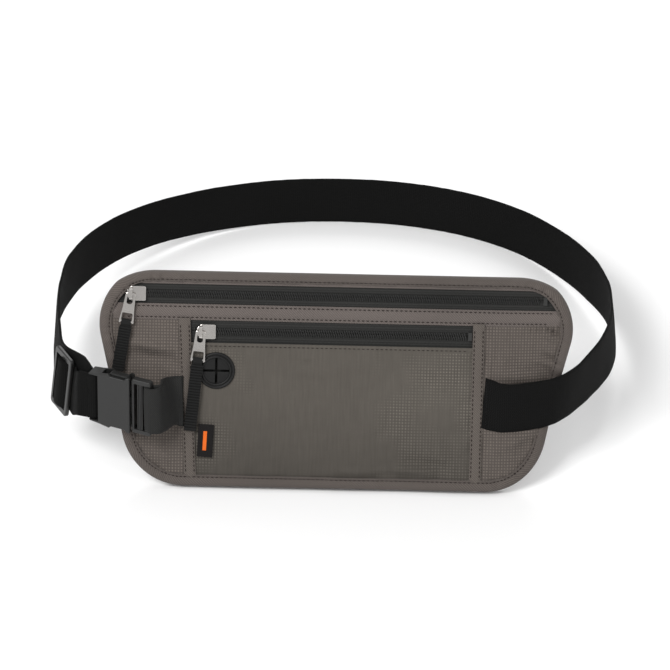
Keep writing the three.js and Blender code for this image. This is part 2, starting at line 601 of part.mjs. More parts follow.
// The stretch that the tri-glide slides along is part of a circle about an upright axis.
const glideCentre = GLIDE_AT.clone().addScaledVector(glideOut, -GLIDE_RADIUS);
const strapRadius = GLIDE_RADIUS - BEHIND_GLIDE * Math.cos(radians(GLIDE_LEAN));
const strapRise = BEHIND_GLIDE * Math.sin(radians(GLIDE_LEAN));
function onGlideArc(turn) {
  const angle = radians(turn);
  return at(-Math.sin(angle), -Math.cos(angle), 0).multiplyScalar(strapRadius)
    .add(glideCentre).add(at(0, 0, strapRise));
}
const arcStations = Array.from({ length: 15 }, (_, i) => {
  const turn = 84 - i * 32 / 14;
  const angle = radians(turn);
  const outward = at(-Math.sin(angle), -Math.cos(angle), 0);
  return {
    centre: onGlideArc(turn),
    tangent: at(Math.cos(angle), -Math.sin(angle), 0),
    up: at(0, 0, Math.cos(radians(GLIDE_LEAN))).addScaledVector(outward, Math.sin(radians(GLIDE_LEAN))),
  };
});

const aroundBack = strapStations([
  [at(162.6, 84.6, 40.7), -7],
  [at(168, 112, 37), -6],
  [at(170.8, 140, 32.5), -3],
  [at(169, 176, 27), 0],
  [at(159.5, 215, 21), 6],
  [at(142.5, 252, 16.3), 11],
  [at(117.5, 282, 14.4), 13],
  [at(83, 304, 14.25), 14],
  [at(43, 316, 14.25), 14],
  [at(2, 320, 14.25), 14],
  [at(-38, 316, 14.4), 13],
  [at(-75, 303, 16.3), 11],
  [at(-108, 280, 21), 8],
  [at(-134, 249, 27.5), 5],
  [at(-154, 212, 34), 1],
  [at(-166, 172, 40), -2],
  [at(-171, 131, 45), -4],
  [at(-170.5, 96, 48.3), -6],
  [onGlideArc(84.8), GLIDE_LEAN],
], 80);
const intoSocket = strapStations([
  [onGlideArc(51), GLIDE_LEAN],
  [onBuckle(-27, -6.5), -3],
  [onBuckle(-21.1, -2.75), 0],
], 8);
add(model, "strap_loop",
  band([...aroundBack, ...arcStations, ...intoSocket], WEBBING, WEBBING_THICK), "webbing");

strap("strap_outer_layer", [
  [onGlide(11.2, -2.2), GLIDE_LEAN],
  [onGlide(15, -1.6), -5],
  [onBuckle(-26, 3.2), -2],
  [onBuckle(-20.9, 2.75), 0],
], 14);

strap("short_webbing", [
  [onPouch(seamLeft, 49, seamDepth + 0.2), LEAN],
  [onPouch(seamLeft - 2, 49, seamDepth + 0.2), LEAN],
  [onPouch(seamLeft - 4, 49.2, seamDepth + 1.4), LEAN],
  [onPouch(-99, 51.5, 13.6), 10],
  [onBuckle(23.4, -4.4), 3],
  [onBuckle(20.2, -2.5), 0],
  [onBuckle(17.4, -2.4), 0],
  [onBuckle(16, -1.45), 0],
  [onBuckle(15.75, 0), 0],
  [onBuckle(16, 1.45), 0],
  [onBuckle(17.4, 2.4), 0],
  [onBuckle(20.6, 2.5), 0],
  [onBuckle(24.6, -0.6), -3],
  [onPouch(-97.4, 51.5, 15), -10],
  [onPouch(seamLeft - 3.6, 49.2, seamDepth + 3.2), -LEAN],
  [onPouch(seamLeft - 1.8, 49, seamDepth + 1.9), -LEAN],
  [onPouch(seamLeft, 49, seamDepth + 1.8), -LEAN],
], 60);

add(pouch, "bartack_right", box(seamRight + 1.5, seamRight + 2.7, seamDepth + 0.9, seamDepth + 1.2,
  SEAM_HEIGHT - 13, SEAM_HEIGHT + 13), "thread");

// ---------------------------------------------------------------- place on the table
const bounds = new THREE.Box3().setFromObject(model, true);
const middle = bounds.getCenter(new THREE.Vector3());
model.position.set(-middle.x, -middle.y, -bounds.min.z);

export default model;
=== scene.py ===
# %% [markdown]
# # A zipped money belt on a webbing strap
# The belt is a flat pouch of thin nylon that stands on its bottom edge and leans back, with its strap closed in a
# loop behind it. The hard pieces (buckle, tri-glide, zip sliders, earphone port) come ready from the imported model,
# so here they only get their finishes. Everything soft is made again in fine detail: cloth panels, folded binding,
# zip tapes and coils, webbing and every stitch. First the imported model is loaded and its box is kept.

import json
import math

import bmesh
import bpy
from mathutils import Matrix, Vector, noise


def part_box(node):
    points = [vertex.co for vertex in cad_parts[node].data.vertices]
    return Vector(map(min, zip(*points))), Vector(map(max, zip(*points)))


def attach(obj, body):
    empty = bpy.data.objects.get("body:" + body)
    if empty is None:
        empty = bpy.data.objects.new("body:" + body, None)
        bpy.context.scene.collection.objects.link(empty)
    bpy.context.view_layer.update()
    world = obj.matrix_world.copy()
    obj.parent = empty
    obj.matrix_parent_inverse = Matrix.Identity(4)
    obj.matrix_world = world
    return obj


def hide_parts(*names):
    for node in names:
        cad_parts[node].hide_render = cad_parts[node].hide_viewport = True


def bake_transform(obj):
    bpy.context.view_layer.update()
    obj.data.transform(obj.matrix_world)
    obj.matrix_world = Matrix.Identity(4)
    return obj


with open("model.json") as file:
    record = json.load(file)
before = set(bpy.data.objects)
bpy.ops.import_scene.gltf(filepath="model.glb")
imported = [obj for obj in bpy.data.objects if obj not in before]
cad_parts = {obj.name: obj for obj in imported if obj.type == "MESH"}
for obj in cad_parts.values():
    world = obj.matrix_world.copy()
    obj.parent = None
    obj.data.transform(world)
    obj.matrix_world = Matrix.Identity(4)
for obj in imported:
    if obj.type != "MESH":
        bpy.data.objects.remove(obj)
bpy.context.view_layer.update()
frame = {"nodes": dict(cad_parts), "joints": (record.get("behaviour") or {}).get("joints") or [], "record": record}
MM = 0.001

# %% [markdown]
# ## The pouch's own directions
# The pouch leans back, so its pieces are easiest to shape in its own directions: u to the right, v up the face and
# d out of the face, all in millimetres. The mount on the back panel says where the back is and which way it looks,
# and that is enough to rebuild the three directions.

# %% Directions of the pouch
mounts = {mount["name"]: mount for mount in frame["record"]["mounts"]}
joints = {joint["name"]: joint for joint in frame["joints"]}
BACK_DEPTH = -1.6
BACK_HEIGHT = 65.5
face_out = -Vector(mounts["back"]["axis"]).normalized()
face_right = Vector((1, 0, 0))
face_up = face_out.cross(face_right).normalized()
face_origin = Vector(mounts["back"]["pos_m"]) - face_out * BACK_DEPTH * MM - face_up * BACK_HEIGHT * MM


def on_face(u, v, d):
    return face_origin + (face_right * u + face_up * v + face_out * d) * MM


def face_place(point):
    offset = (Vector(point) - face_origin) / MM
    return offset.dot(face_right), offset.dot(face_up), offset.dot(face_out)


print("pouch stands at", [round(value / MM, 1) for value in face_origin], "mm")

# %% [markdown]
# ## The directions of the buckle and the tri-glide
# The two squeeze arms turn about axes that run out of the buckle's face, and the buckle opens along its length, so
# these joints give the buckle's place and directions. The tri-glide slides on a circle, so its outward direction
# points from the circle's centre to the middle of its box.

# %% Directions of the buckle and the tri-glide
ARM_PIVOT = 6.9
buckle_right = -Vector(joints["buckle_release"]["axis"]).normalized()
buckle_out = Vector(joints["arm_upper_squeeze"]["axis"]).normalized()
arm_pivots = [Vector(joints[name]["pos_m"]) for name in ("arm_upper_squeeze", "arm_lower_squeeze")]
buckle_origin = (arm_pivots[0] + arm_pivots[1]) / 2 - buckle_right * ARM_PIVOT * MM

GLIDE_LEAN = math.radians(-7)
glide_low, glide_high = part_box("triglide")
glide_origin = (glide_low + glide_high) / 2
circle_centre = Vector(joints["triglide_slide"]["pos_m"])
circle_centre.z = glide_origin.z
circle_radius = (glide_origin - circle_centre).length
glide_flat_out = (glide_origin - circle_centre).normalized()
glide_right = Vector((-glide_flat_out.y, glide_flat_out.x, 0))
glide_up = Vector((0, 0, math.cos(GLIDE_LEAN))) + glide_flat_out * math.sin(GLIDE_LEAN)
glide_out = glide_right.cross(glide_up).normalized()


def on_buckle(x, out, height=0.0):
    return buckle_origin + (buckle_right * x + buckle_out * out + Vector((0, 0, height))) * MM


def on_glide(x, out, height=0.0):
    return glide_origin + (glide_right * x + glide_out * out + glide_up * height) * MM


print("buckle at", [round(value / MM, 1) for value in buckle_origin], "mm, circle radius",
      round(circle_radius / MM, 1))

# %% [markdown]
# ## Camera
# A long lens from a little above the pouch keeps the loop's ellipse flat. The camera looks at a point just above the
# middle of the pouch and is rolled by about one degree.

# %% Camera
EYE_ELEVATION = math.radians(32)
EYE_DISTANCE = 2.3
EYE_ROLL = math.radians(1.2)
LENS = 210
camera_data = bpy.data.cameras.new("camera")
camera_data.lens = LENS
camera = bpy.data.objects.new("camera", camera_data)
bpy.context.scene.collection.objects.link(camera)
eye_back = Vector((0, -math.cos(EYE_ELEVATION), math.sin(EYE_ELEVATION)))
pouch_middle = on_face(0, 65, 0)
camera_place = pouch_middle + eye_back * EYE_DISTANCE
AIM_UP, AIM_LEFT = 0.0262, -0.0012
eye_up = eye_back.cross(Vector((1, 0, 0)))
look_at = pouch_middle + eye_up * AIM_UP + face_right * AIM_LEFT
camera.rotation_mode = "QUATERNION"
camera.location = camera_place
camera.rotation_quaternion = ((look_at - camera_place).to_track_quat("-Z", "Y").to_matrix()
                              @ Matrix.Rotation(EYE_ROLL, 3, "Z")).to_quaternion()
camera_data.clip_start, camera_data.clip_end = 0.05, 60
bpy.context.scene.camera = camera
print("camera at", [round(value, 3) for value in camera.location])

# %% [markdown]
# ## Floor and light
# A pale floor far wider than the object and a bright, even sky give the clean look of a product table. One broad lamp
# from the upper left and a weaker one from the right draw the folds without hard shadows.

# %% Floor and light
floor_form = bmesh.new()
bmesh.ops.create_grid(floor_form, x_segments=1, y_segments=1, size=9.0)
floor_mesh = bpy.data.meshes.new("floor")
floor_form.to_mesh(floor_mesh)
floor_form.free()
floor = bpy.data.objects.new("floor", floor_mesh)
bpy.context.scene.collection.objects.link(floor)
floor_paint = bpy.data.materials.new("floor_paint")
floor_paint.use_nodes = True
floor_shader = floor_paint.node_tree.nodes["Principled BSDF"]
floor_shader.inputs["Base Color"].default_value = (0.93, 0.93, 0.93, 1)
floor_shader.inputs["Roughness"].default_value = 0.9
floor_mesh.materials.append(floor_paint)

sky = bpy.data.worlds.new("soft_sky")
sky.use_nodes = True
sky.node_tree.nodes["Background"].inputs["Color"].default_value = (1, 1, 1, 1)
sky.node_tree.nodes["Background"].inputs["Strength"].default_value = 0.62
bpy.context.scene.world = sky


def lamp(name, place, target, power, size):
    data = bpy.data.lights.new(name, "AREA")
    data.energy, data.size = power, size
    light = bpy.data.objects.new(name, data)
    bpy.context.scene.collection.objects.link(light)
    light.location = place
    light.rotation_mode = "QUATERNION"
    light.rotation_quaternion = (Vector(target) - Vector(place)).to_track_quat("-Z", "Y")
    return light


lamp("key_lamp", (-0.9, -1.3, 1.5), pouch_middle, 30, 0.75)
lamp("fill_lamp", (1.3, -1.1, 0.8), pouch_middle, 5, 1.0)
lamp("back_lamp", (0.2, 1.4, 1.3), pouch_middle, 9, 0.9)
bpy.context.scene.view_settings.view_transform = "Standard"
print("lamps:", [light.name for light in bpy.data.lights])

# %% [markdown]
# ## Patterns shared by the finishes
# Cloth needs a weave at its true scale, so each cloth piece carries a UV map measured in millimetres and the weave
# groups below turn those millimetres into a height and a shade. A group only gives masks, heights and shades, and the
# shader itself stays in each material.

# %% Helpers for node groups
def calc(tree, operation, first, second=0.0, third=0.0, clamp=False):
    node = tree.nodes.new("ShaderNodeMath")
    node.operation = operation
    node.use_clamp = clamp
    for socket, value in zip(node.inputs, (first, second, third)):
        if isinstance(value, bpy.types.NodeSocket):
            tree.links.new(value, socket)
        else:
            socket.default_value = value
    return node.outputs[0]


def new_group(name, inputs, outputs):
    tree = bpy.data.node_groups.new(name, "ShaderNodeTree")
    for label, kind, value in inputs:
        socket = tree.interface.new_socket(label, in_out="INPUT", socket_type=kind)
        if value is not None:
            socket.default_value = value
    for label in outputs:
        tree.interface.new_socket(label, in_out="OUTPUT", socket_type="NodeSocketFloat")
    return tree, tree.nodes.new("NodeGroupInput").outputs, tree.nodes.new("NodeGroupOutput").inputs


def wave(tree, distance, pitch, phase=0.0):
    """A smooth 0 to 1 wave that repeats every pitch."""
    turns = calc(tree, "DIVIDE", distance, pitch)
    angle = calc(tree, "MULTIPLY_ADD", turns, 2 * math.pi, phase)
    return calc(tree, "MULTIPLY_ADD", calc(tree, "COSINE", angle), 0.5, 0.5)


def split(tree, vector):
    node = tree.nodes.new("ShaderNodeSeparateXYZ")
    tree.links.new(vector, node.inputs[0])
    return node.outputs


def speckle(tree, vector, scale, detail=2.0, roughness=0.5):
    node = tree.nodes.new("ShaderNodeTexNoise")
    tree.links.new(vector, node.inputs["Vector"])
    node.inputs["Scale"].default_value = scale
    node.inputs["Detail"].default_value = detail
    node.inputs["Roughness"].default_value = roughness
    return node.outputs["Fac"]


VECTOR, FLOAT = "NodeSocketVector", "NodeSocketFloat"
print("helpers ready")

# %% [markdown]
# The main cloth is a light nylon with a small raised square in every cell, the kind that stops tears. The dots fade
# where the cloth is pulled smooth, so a soft noise lets them come and go. The Smooth input fades them further, and on
# the pocket it carries a painted sheen.

# %% Weave with raised squares
ripstop, given, result = new_group(
    "ripstop_cells", [("Vector", VECTOR, None), ("Pitch", FLOAT, 1.8), ("Thread", FLOAT, 0.42), ("Fade", FLOAT, 0.5),
                      ("Smooth", FLOAT, 0.0)],
    ["Height", "Shade"])
along, over, _ = split(ripstop, given["Vector"])
cell = calc(ripstop, "MULTIPLY", wave(ripstop, along, given["Pitch"]), wave(ripstop, over, given["Pitch"]))
worn = speckle(ripstop, given["Vector"], 0.45, 2.0, 0.6)
cell = calc(ripstop, "MULTIPLY", cell, calc(ripstop, "MULTIPLY_ADD", worn, 1.6, 0.2))
threads = calc(ripstop, "ADD", wave(ripstop, along, given["Thread"]), wave(ripstop, over, given["Thread"]))
patchy = speckle(ripstop, given["Vector"], 0.035, 1.0)
patchy = calc(ripstop, "MULTIPLY_ADD", patchy, 3.2, -1.1, clamp=True)
pulled = calc(ripstop, "MULTIPLY_ADD", patchy, given["Fade"], given["Smooth"], clamp=True)
shown = calc(ripstop, "SUBTRACT", 1.0, pulled)
raised = calc(ripstop, "MULTIPLY", cell, shown)
stretched = ripstop.nodes.new("ShaderNodeCombineXYZ")
ripstop.links.new(along, stretched.inputs[0])
ripstop.links.new(calc(ripstop, "MULTIPLY", over, 0.06), stretched.inputs[1])
streak = speckle(ripstop, stretched.outputs[0], 0.9, 2.0)
streaked = calc(ripstop, "ADD", calc(ripstop, "MULTIPLY_ADD", raised, 0.95, calc(ripstop, "MULTIPLY_ADD", pulled, 0.16, 0.53)), calc(ripstop, "MULTIPLY", streak, 0.3))
ripstop.links.new(calc(ripstop, "MULTIPLY_ADD", threads, 0.12, raised), result["Height"])
ripstop.links.new(streaked, result["Shade"])
print("group", ripstop.name)

# %% [markdown]
# The binding and the folded tapes are a fine twill: its ridges run diagonally. Webbing is coarse, with ribs across
# its length and columns of yarn along it. Its two edges are rolled and a little shinier, but this weave is the same
# across the whole width.

# %% Twill and webbing weaves
twill, given, result = new_group("fine_twill", [("Vector", VECTOR, None), ("Pitch", FLOAT, 0.9)], ["Height", "Shade"])
along, over, _ = split(twill, given["Vector"])
ridge = wave(twill, calc(twill, "ADD", along, over), given["Pitch"])
broken = speckle(twill, given["Vector"], 0.9, 2.0)
ridge = calc(twill, "MULTIPLY", ridge, calc(twill, "MULTIPLY_ADD", broken, 1.2, 0.3))
twill.links.new(ridge, result["Height"])
twill.links.new(calc(twill, "MULTIPLY_ADD", ridge, 0.55, 0.72), result["Shade"])

ribs, given, result = new_group("webbing_ribs", [("Vector", VECTOR, None), ("Rib", FLOAT, 1.25), ("Yarn", FLOAT, 1.0)],
                                ["Height", "Shade"])
along, over, _ = split(ribs, given["Vector"])
stagger = calc(ribs, "MULTIPLY", wave(ribs, over, calc(ribs, "MULTIPLY", given["Yarn"], 2.0)), 0.5)
rib = wave(ribs, calc(ribs, "ADD", along, stagger), given["Rib"])
yarn = wave(ribs, over, given["Yarn"])
woven = calc(ribs, "MULTIPLY_ADD", yarn, 0.5, calc(ribs, "MULTIPLY", rib, 0.7))
fuzz = speckle(ribs, given["Vector"], 3.0, 3.0, 0.7)
woven = calc(ribs, "MULTIPLY_ADD", fuzz, 0.35, woven)
ribs.links.new(woven, result["Height"])
ribs.links.new(calc(ribs, "MULTIPLY_ADD", woven, 0.8, 0.5), result["Shade"])
print("groups", twill.name, ribs.name)

# %% [markdown]
# Used things are never one even colour. This group gives a slow change of shade and a dusty mask that every finish
# can add, read from the object's own coordinates so that it stays with the piece.

# %% Handling marks
handling, given, result = new_group("handling_marks", [("Vector", VECTOR, None), ("Size", FLOAT, 18.0)],
                                    ["Shade", "Dust"])
slow = handling.nodes.new("ShaderNodeTexNoise")
handling.links.new(given["Vector"], slow.inputs["Vector"])
handling.links.new(given["Size"], slow.inputs["Scale"])
slow.inputs["Detail"].default_value = 3.0
fine = speckle(handling, given["Vector"], 900.0, 2.0, 0.6)
handling.links.new(calc(handling, "MULTIPLY_ADD", slow.outputs["Fac"], 0.36, 0.82), result["Shade"])
handling.links.new(calc(handling, "MULTIPLY_ADD", fine, 2.4, -1.35, clamp=True), result["Dust"])
print("group", handling.name)

# %% [markdown]
# ## Finishes
# A cloth finish multiplies its colour by the weave's shade and by the handling marks, then feeds the weave's height
# to a bump. Sheen is what makes fibres glow at a grazing angle, and it is set on the shader itself.

# %% Cloth finishes
def place_group(tree, group, vector, **values):
    node = tree.nodes.new("ShaderNodeGroup")
    node.node_tree = group
    tree.links.new(vector, node.inputs["Vector"])
    for label, value in values.items():
        node.inputs[label].default_value = value
    return node.outputs


def tinted(tree, colour, *shades):
    """The colour multiplied by each shade in turn."""
    last = None
    for shade in shades:
        node = tree.nodes.new("ShaderNodeVectorMath")
        node.operation = "SCALE"
        if last is None:
            node.inputs[0].default_value = colour
        else:
            tree.links.new(last, node.inputs[0])
        tree.links.new(shade, node.inputs["Scale"])
        last = node.outputs[0]
    return last


def bump(tree, height, strength, distance):
    node = tree.nodes.new("ShaderNodeBump")
    node.inputs["Strength"].default_value = strength
    node.inputs["Distance"].default_value = distance * MM
    tree.links.new(height, node.inputs["Height"])
    return node.outputs["Normal"]


def new_finish(name, roughness, metallic=0.0, sheen=0.0, specular=0.5):
    finish = bpy.data.materials.new(name)
    finish.use_nodes = True
    shader = finish.node_tree.nodes["Principled BSDF"]
    shader.inputs["Roughness"].default_value = roughness
    shader.inputs["Metallic"].default_value = metallic
    shader.inputs["Sheen Weight"].default_value = sheen
    shader.inputs["Sheen Roughness"].default_value = 0.45
    shader.inputs["Specular IOR Level"].default_value = specular
    where = finish.node_tree.nodes.new("ShaderNodeTexCoord").outputs
    return finish, finish.node_tree, shader.inputs, where


def cloth_finish(name, colour, weave, relief, roughness=0.8, sheen=0.05, size=14.0, gloss=0.2, **values):
    finish, tree, shader, where = new_finish(name, roughness, 0.0, sheen, gloss)
    pattern = place_group(tree, weave, where["UV"], **values)
    marks = place_group(tree, handling, where["Object"], Size=size)
    tree.links.new(tinted(tree, colour, pattern["Shade"], marks["Shade"]), shader["Base Color"])
    tree.links.new(bump(tree, pattern["Height"], 0.7, relief), shader["Normal"])
    return finish


wing_cloth = cloth_finish("wing_cloth", (0.098, 0.083, 0.073), ripstop, 0.35, Pitch=1.8, Fade=0.35)
pocket_cloth = cloth_finish("pocket_cloth", (0.093, 0.083, 0.071), ripstop, 0.25, Pitch=1.8, Fade=1.0)
strip_cloth = cloth_finish("strip_cloth", (0.112, 0.095, 0.087), twill, 0.25, Pitch=1.5)
binding_cloth = cloth_finish("binding_cloth", (0.092, 0.078, 0.070), twill, 0.35, Pitch=1.7)
tape_cloth = cloth_finish("tape_cloth", (0.097, 0.083, 0.073), twill, 0.25, Pitch=1.4)
cloth_tree = pocket_cloth.node_tree
across_pocket, up_pocket, _ = split(cloth_tree, next(
    node for node in cloth_tree.nodes if node.type == "TEX_COORD").outputs["UV"])
# Painted sheen: across the pocket's middle, fully within 28.5 mm of u = -14 and gone by 58.5 mm, the weave's dots fade
# out of the colour and the bump, and the ground takes the faded shade, as where a sheen washes the weave out. Above
# 82.6 mm the hem's band is smoothed in the same way.
from_middle = calc(cloth_tree, "ABSOLUTE", calc(cloth_tree, "ADD", across_pocket, 14.0))
painted_sheen_middle = calc(cloth_tree, "MULTIPLY_ADD", from_middle, -1 / 30, 1.95, clamp=True)
hem_share = calc(cloth_tree, "MULTIPLY_ADD", up_pocket, 0.8, -0.8 * 82.6, clamp=True)
weave_node = next(node for node in cloth_tree.nodes if node.type == "GROUP" and node.node_tree == ripstop)
cloth_tree.links.new(calc(cloth_tree, "MAXIMUM", painted_sheen_middle, hem_share), weave_node.inputs["Smooth"])
pocket_shader = cloth_tree.nodes["Principled BSDF"].inputs
# Painted shade: the pocket's colour is scaled from 0.70 at its bottom edge up to full at about 52 mm, so it is darker
# towards the foot, where less light reaches it.
painted_foot_shade = cloth_tree.nodes.new("ShaderNodeVectorMath")
painted_foot_shade.operation = "SCALE"
cloth_tree.links.new(pocket_shader["Base Color"].links[0].from_socket, painted_foot_shade.inputs[0])
cloth_tree.links.new(calc(cloth_tree, "MAXIMUM", calc(cloth_tree, "MULTIPLY_ADD", up_pocket, 0.0058, 0.70, clamp=True),
                          0.0), painted_foot_shade.inputs["Scale"])
cloth_tree.links.new(painted_foot_shade.outputs[0], pocket_shader["Base Color"])
lining_cloth = cloth_finish("lining_cloth", (0.012, 0.012, 0.011), ripstop, 0.05, Pitch=0.6, Fade=0.0)
zip_cloth = cloth_finish("zip_cloth", (0.022, 0.022, 0.021), ribs, 0.25, Rib=0.8, Yarn=1.6, sheen=0.03, gloss=0.12)
black_webbing = cloth_finish("black_webbing", (0.0055, 0.0055, 0.0054), ribs, 0.25, sheen=0.006, gloss=0.05)
grey_webbing = cloth_finish("grey_webbing", (0.0155, 0.0155, 0.015), ribs, 0.15, Rib=1.0, Yarn=0.8, sheen=0.02, gloss=0.15)
mesh_cloth = cloth_finish("mesh_cloth", (0.016, 0.016, 0.016), ripstop, 0.9, Pitch=3.0, Fade=0.0, Thread=0.7)
label_cloth = cloth_finish("label_cloth", (0.010, 0.009, 0.009), twill, 0.06, gloss=0.1, Pitch=0.5)
print("cloth finishes:", len([m for m in bpy.data.materials if m.name.endswith(("cloth", "webbing"))]))

# %% [markdown]
# Moulded plastic, rubber, nylon coil, thread and plated metal don't carry a UV map, because they are the model's own
# pieces or small repeated ones, so their grain reads the object's coordinates in metres.

# %% Hard finishes
def hard_finish(name, colour, roughness, grain, relief, metallic=0.0, sheen=0.0, dusty=0.0, specular=0.5):
    finish, tree, shader, where = new_finish(name, roughness, metallic, sheen, specular)
    marks = place_group(tree, handling, where["Object"], Size=45.0)
    tree.links.new(tinted(tree, colour, marks["Shade"]), shader["Base Color"])
    height = speckle(tree, where["Object"], grain, 3.0, 0.6)
    tree.links.new(bump(tree, height, 0.5, relief), shader["Normal"])
    uneven = calc(tree, "MULTIPLY_ADD", marks["Dust"], dusty, roughness)
    tree.links.new(calc(tree, "MULTIPLY_ADD", marks["Shade"], 0.12, calc(tree, "SUBTRACT", uneven, 0.12)),
                   shader["Roughness"])
    return finish


buckle_plastic = hard_finish("buckle_plastic", (0.0125, 0.0125, 0.0122), 0.42, 2600.0, 0.03, dusty=0.15, specular=0.4)
glide_plastic = hard_finish("glide_plastic", (0.012, 0.012, 0.0118), 0.32, 2600.0, 0.02, dusty=0.1, specular=0.5)
port_rubber = hard_finish("port_rubber", (0.0055, 0.0055, 0.0054), 0.5, 1800.0, 0.02, dusty=0.2, specular=0.25)
grip_rubber = hard_finish("grip_rubber", (0.008, 0.008, 0.0078), 0.62, 2200.0, 0.05, dusty=0.2, specular=0.15)
nickel = hard_finish("nickel", (0.56, 0.535, 0.51), 0.22, 700.0, 0.002, metallic=1.0, dusty=0.08)
coil_nylon = hard_finish("coil_nylon", (0.026, 0.026, 0.025), 0.4, 2000.0, 0.01, specular=0.3)
brown_thread = hard_finish("brown_thread", (0.022, 0.017, 0.015), 0.8, 3000.0, 0.03, specular=0.15)
black_thread = hard_finish("black_thread", (0.008, 0.008, 0.008), 0.75, 3000.0, 0.03, specular=0.15)
orange_thread = hard_finish("orange_thread", (0.62, 0.115, 0.010), 0.6, 3000.0, 0.05, specular=0.2)

CAD_FINISHES = {
    "buckle_socket": buckle_plastic, "buckle_plug": buckle_plastic, "buckle_arm_upper": buckle_plastic,
    "buckle_arm_lower": buckle_plastic, "triglide": glide_plastic, "port_washer": port_rubber,
    "upper_pull_tab": grip_rubber,
    "lower_pull_tab": grip_rubber, "upper_slider_body": nickel, "lower_slider_body": nickel,
    "upper_puller": nickel, "lower_puller": nickel, "upper_zip_stop": coil_nylon, "lower_zip_stop": coil_nylon,
}
for node_name, finish in CAD_FINISHES.items():
    node = frame["nodes"][node_name]
    node.data.materials.clear()
    node.data.materials.append(finish)
print("model pieces with a finish:", len(CAD_FINISHES))

# %% [markdown]
# ## A sheet of cloth from a grid
# Every soft piece starts as bmesh's own grid. A placing function then moves each point of the unit square to where
# the cloth lies and says how many millimetres along and across the cloth it is, which becomes the UV map. Solidify
# gives the thickness afterwards, so each sheet is a closed body.

# %% Helpers for soft pieces
def finish_piece(name, form, finish, smooth=True):
    mesh = bpy.data.meshes.new(name)
    form.to_mesh(mesh)
    form.free()
    mesh.materials.append(finish)
    mesh.polygons.foreach_set("use_smooth", [smooth] * len(mesh.polygons))
    piece = bpy.data.objects.new(name, mesh)
    bpy.context.scene.collection.objects.link(piece)
    return piece


def grid_piece(name, columns, rows, place, finish, thick=0.0, closed=False):
    form = bmesh.new()
    bmesh.ops.create_grid(form, x_segments=columns, y_segments=rows, size=0.5)
    cloth_map = form.loops.layers.uv.new("cloth_mm")
    placed = {vert: place(vert.co.x + 0.5, vert.co.y + 0.5) for vert in form.verts}
    for face in form.faces:
        for loop in face.loops:
            loop[cloth_map].uv = placed[loop.vert][1]
    for vert, (point, _) in placed.items():
        vert.co = point
    if closed:
        bmesh.ops.remove_doubles(form, verts=form.verts, dist=0.00002)
        bmesh.ops.recalc_face_normals(form, faces=form.faces)
    piece = finish_piece(name, form, finish)
    if thick:
        wall = piece.modifiers.new("thickness", "SOLIDIFY")
        wall.thickness = thick * MM
        wall.offset = 0.0
    return piece


def settle(piece, body, slot, *nodes):
    """The piece moves with the body and stands for the nodes. The slot is not used."""
    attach(piece, body)
    if nodes:
        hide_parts(*nodes)
    return piece


def smooth_step(value, low, high):
    share = min(max((value - low) / (high - low), 0.0), 1.0)
    return share * share * (3 - 2 * share)


def mix(first, second, share):
    return first + (second - first) * share


print("soft helpers ready")

# %% [markdown]
# ## The pouch's outline
# The outline has straight sides that open upward, wide round corners below and tighter ones above. At any height the
# half-width comes from a straight line or from a corner's circle, and moving inward keeps the circles' centres.

# %% Outline
HEIGHT, BOTTOM_HALF, TOP_HALF = 131.0, 119.0, 149.0
BOTTOM_RADIUS, TOP_RADIUS = 38.0, 34.0
BINDING = 7.0
side_slope = math.atan2(TOP_HALF - BOTTOM_HALF, HEIGHT)


def side_line(v):
    return BOTTOM_HALF + (TOP_HALF - BOTTOM_HALF) * v / HEIGHT


def corner_centre(v, radius):
    return side_line(v) - radius / math.cos(side_slope), v


bottom_centre = corner_centre(BOTTOM_RADIUS, BOTTOM_RADIUS)
top_centre = corner_centre(HEIGHT - TOP_RADIUS, TOP_RADIUS)


def half_width(v, inset):
    """Half the pouch's width at height v, for an outline moved inward by inset."""
    for (centre_u, centre_v), radius, below in ((bottom_centre, BOTTOM_RADIUS, True), (top_centre, TOP_RADIUS, False)):
        reach = radius - inset
        turn_v = centre_v - reach * math.sin(side_slope)
        if (v < turn_v) if below else (v > turn_v):
            return centre_u + math.sqrt(max(reach ** 2 - (v - centre_v) ** 2, 0.0))
    return side_line(v) - inset / math.cos(side_slope)


print("half-width at mid height:", round(half_width(HEIGHT / 2, 0), 1), "mm")

# %% [markdown]
# ## How the cloth gives
# Sewn cloth is never flat. The strap pulls the right-hand wing back, the whole face drifts a little, and creases and
# gathers start at seams. All panels share these depths, so neighbours stay together. Near the sliders and the
# earphone port the cloth stays where the hard pieces sit.

# %% Shape of the relaxed cloth
WING_PULL = 14.0
STRAP_V = 50.0
CREASES = [
    # u0, v0, u1, v1, half-width, height
    (124.5, 98.6, 132.0, 94.6, 1.1, -0.9), (122.0, 96.0, 131.5, 91.5, 1.3, 0.7),
    (122.5, 83.2, 131.0, 79.6, 1.2, -0.8), (116.0, 80.0, 130.5, 75.5, 1.8, 0.6),
    (-124.0, 86.5, -93.0, 82.0, 2.8, 0.9), (-122.0, 79.5, -96.0, 76.0, 3.0, -0.7),
    (-20.5, 76.5, -14.0, 76.8, 0.8, -0.45), (-30.0, 71.0, 10.0, 74.0, 5.0, 0.5),
    (30.0, 13.5, 60.0, 11.5, 2.2, 0.9), (5.0, 11.0, 32.0, 12.0, 2.0, 0.7), (44.0, 18.0, 70.0, 15.0, 3.0, -0.5),
    (96.0, 26.0, 122.0, 38.0, 3.5, 0.8), (95.0, 72.0, 126.0, 66.0, 3.5, 0.7),
    (-104.0, 22.0, -92.0, 12.0, 2.4, 0.5), (88.0, 60.0, 91.0, 92.0, 1.6, 0.5),
    (-92.0, 66.0, -95.0, 95.0, 1.6, 0.4),
]


def wing_bend(u, v):
    return -WING_PULL * smooth_step(u, 92, 136) * math.exp(-(((v - STRAP_V) / 27) ** 2) / 2)


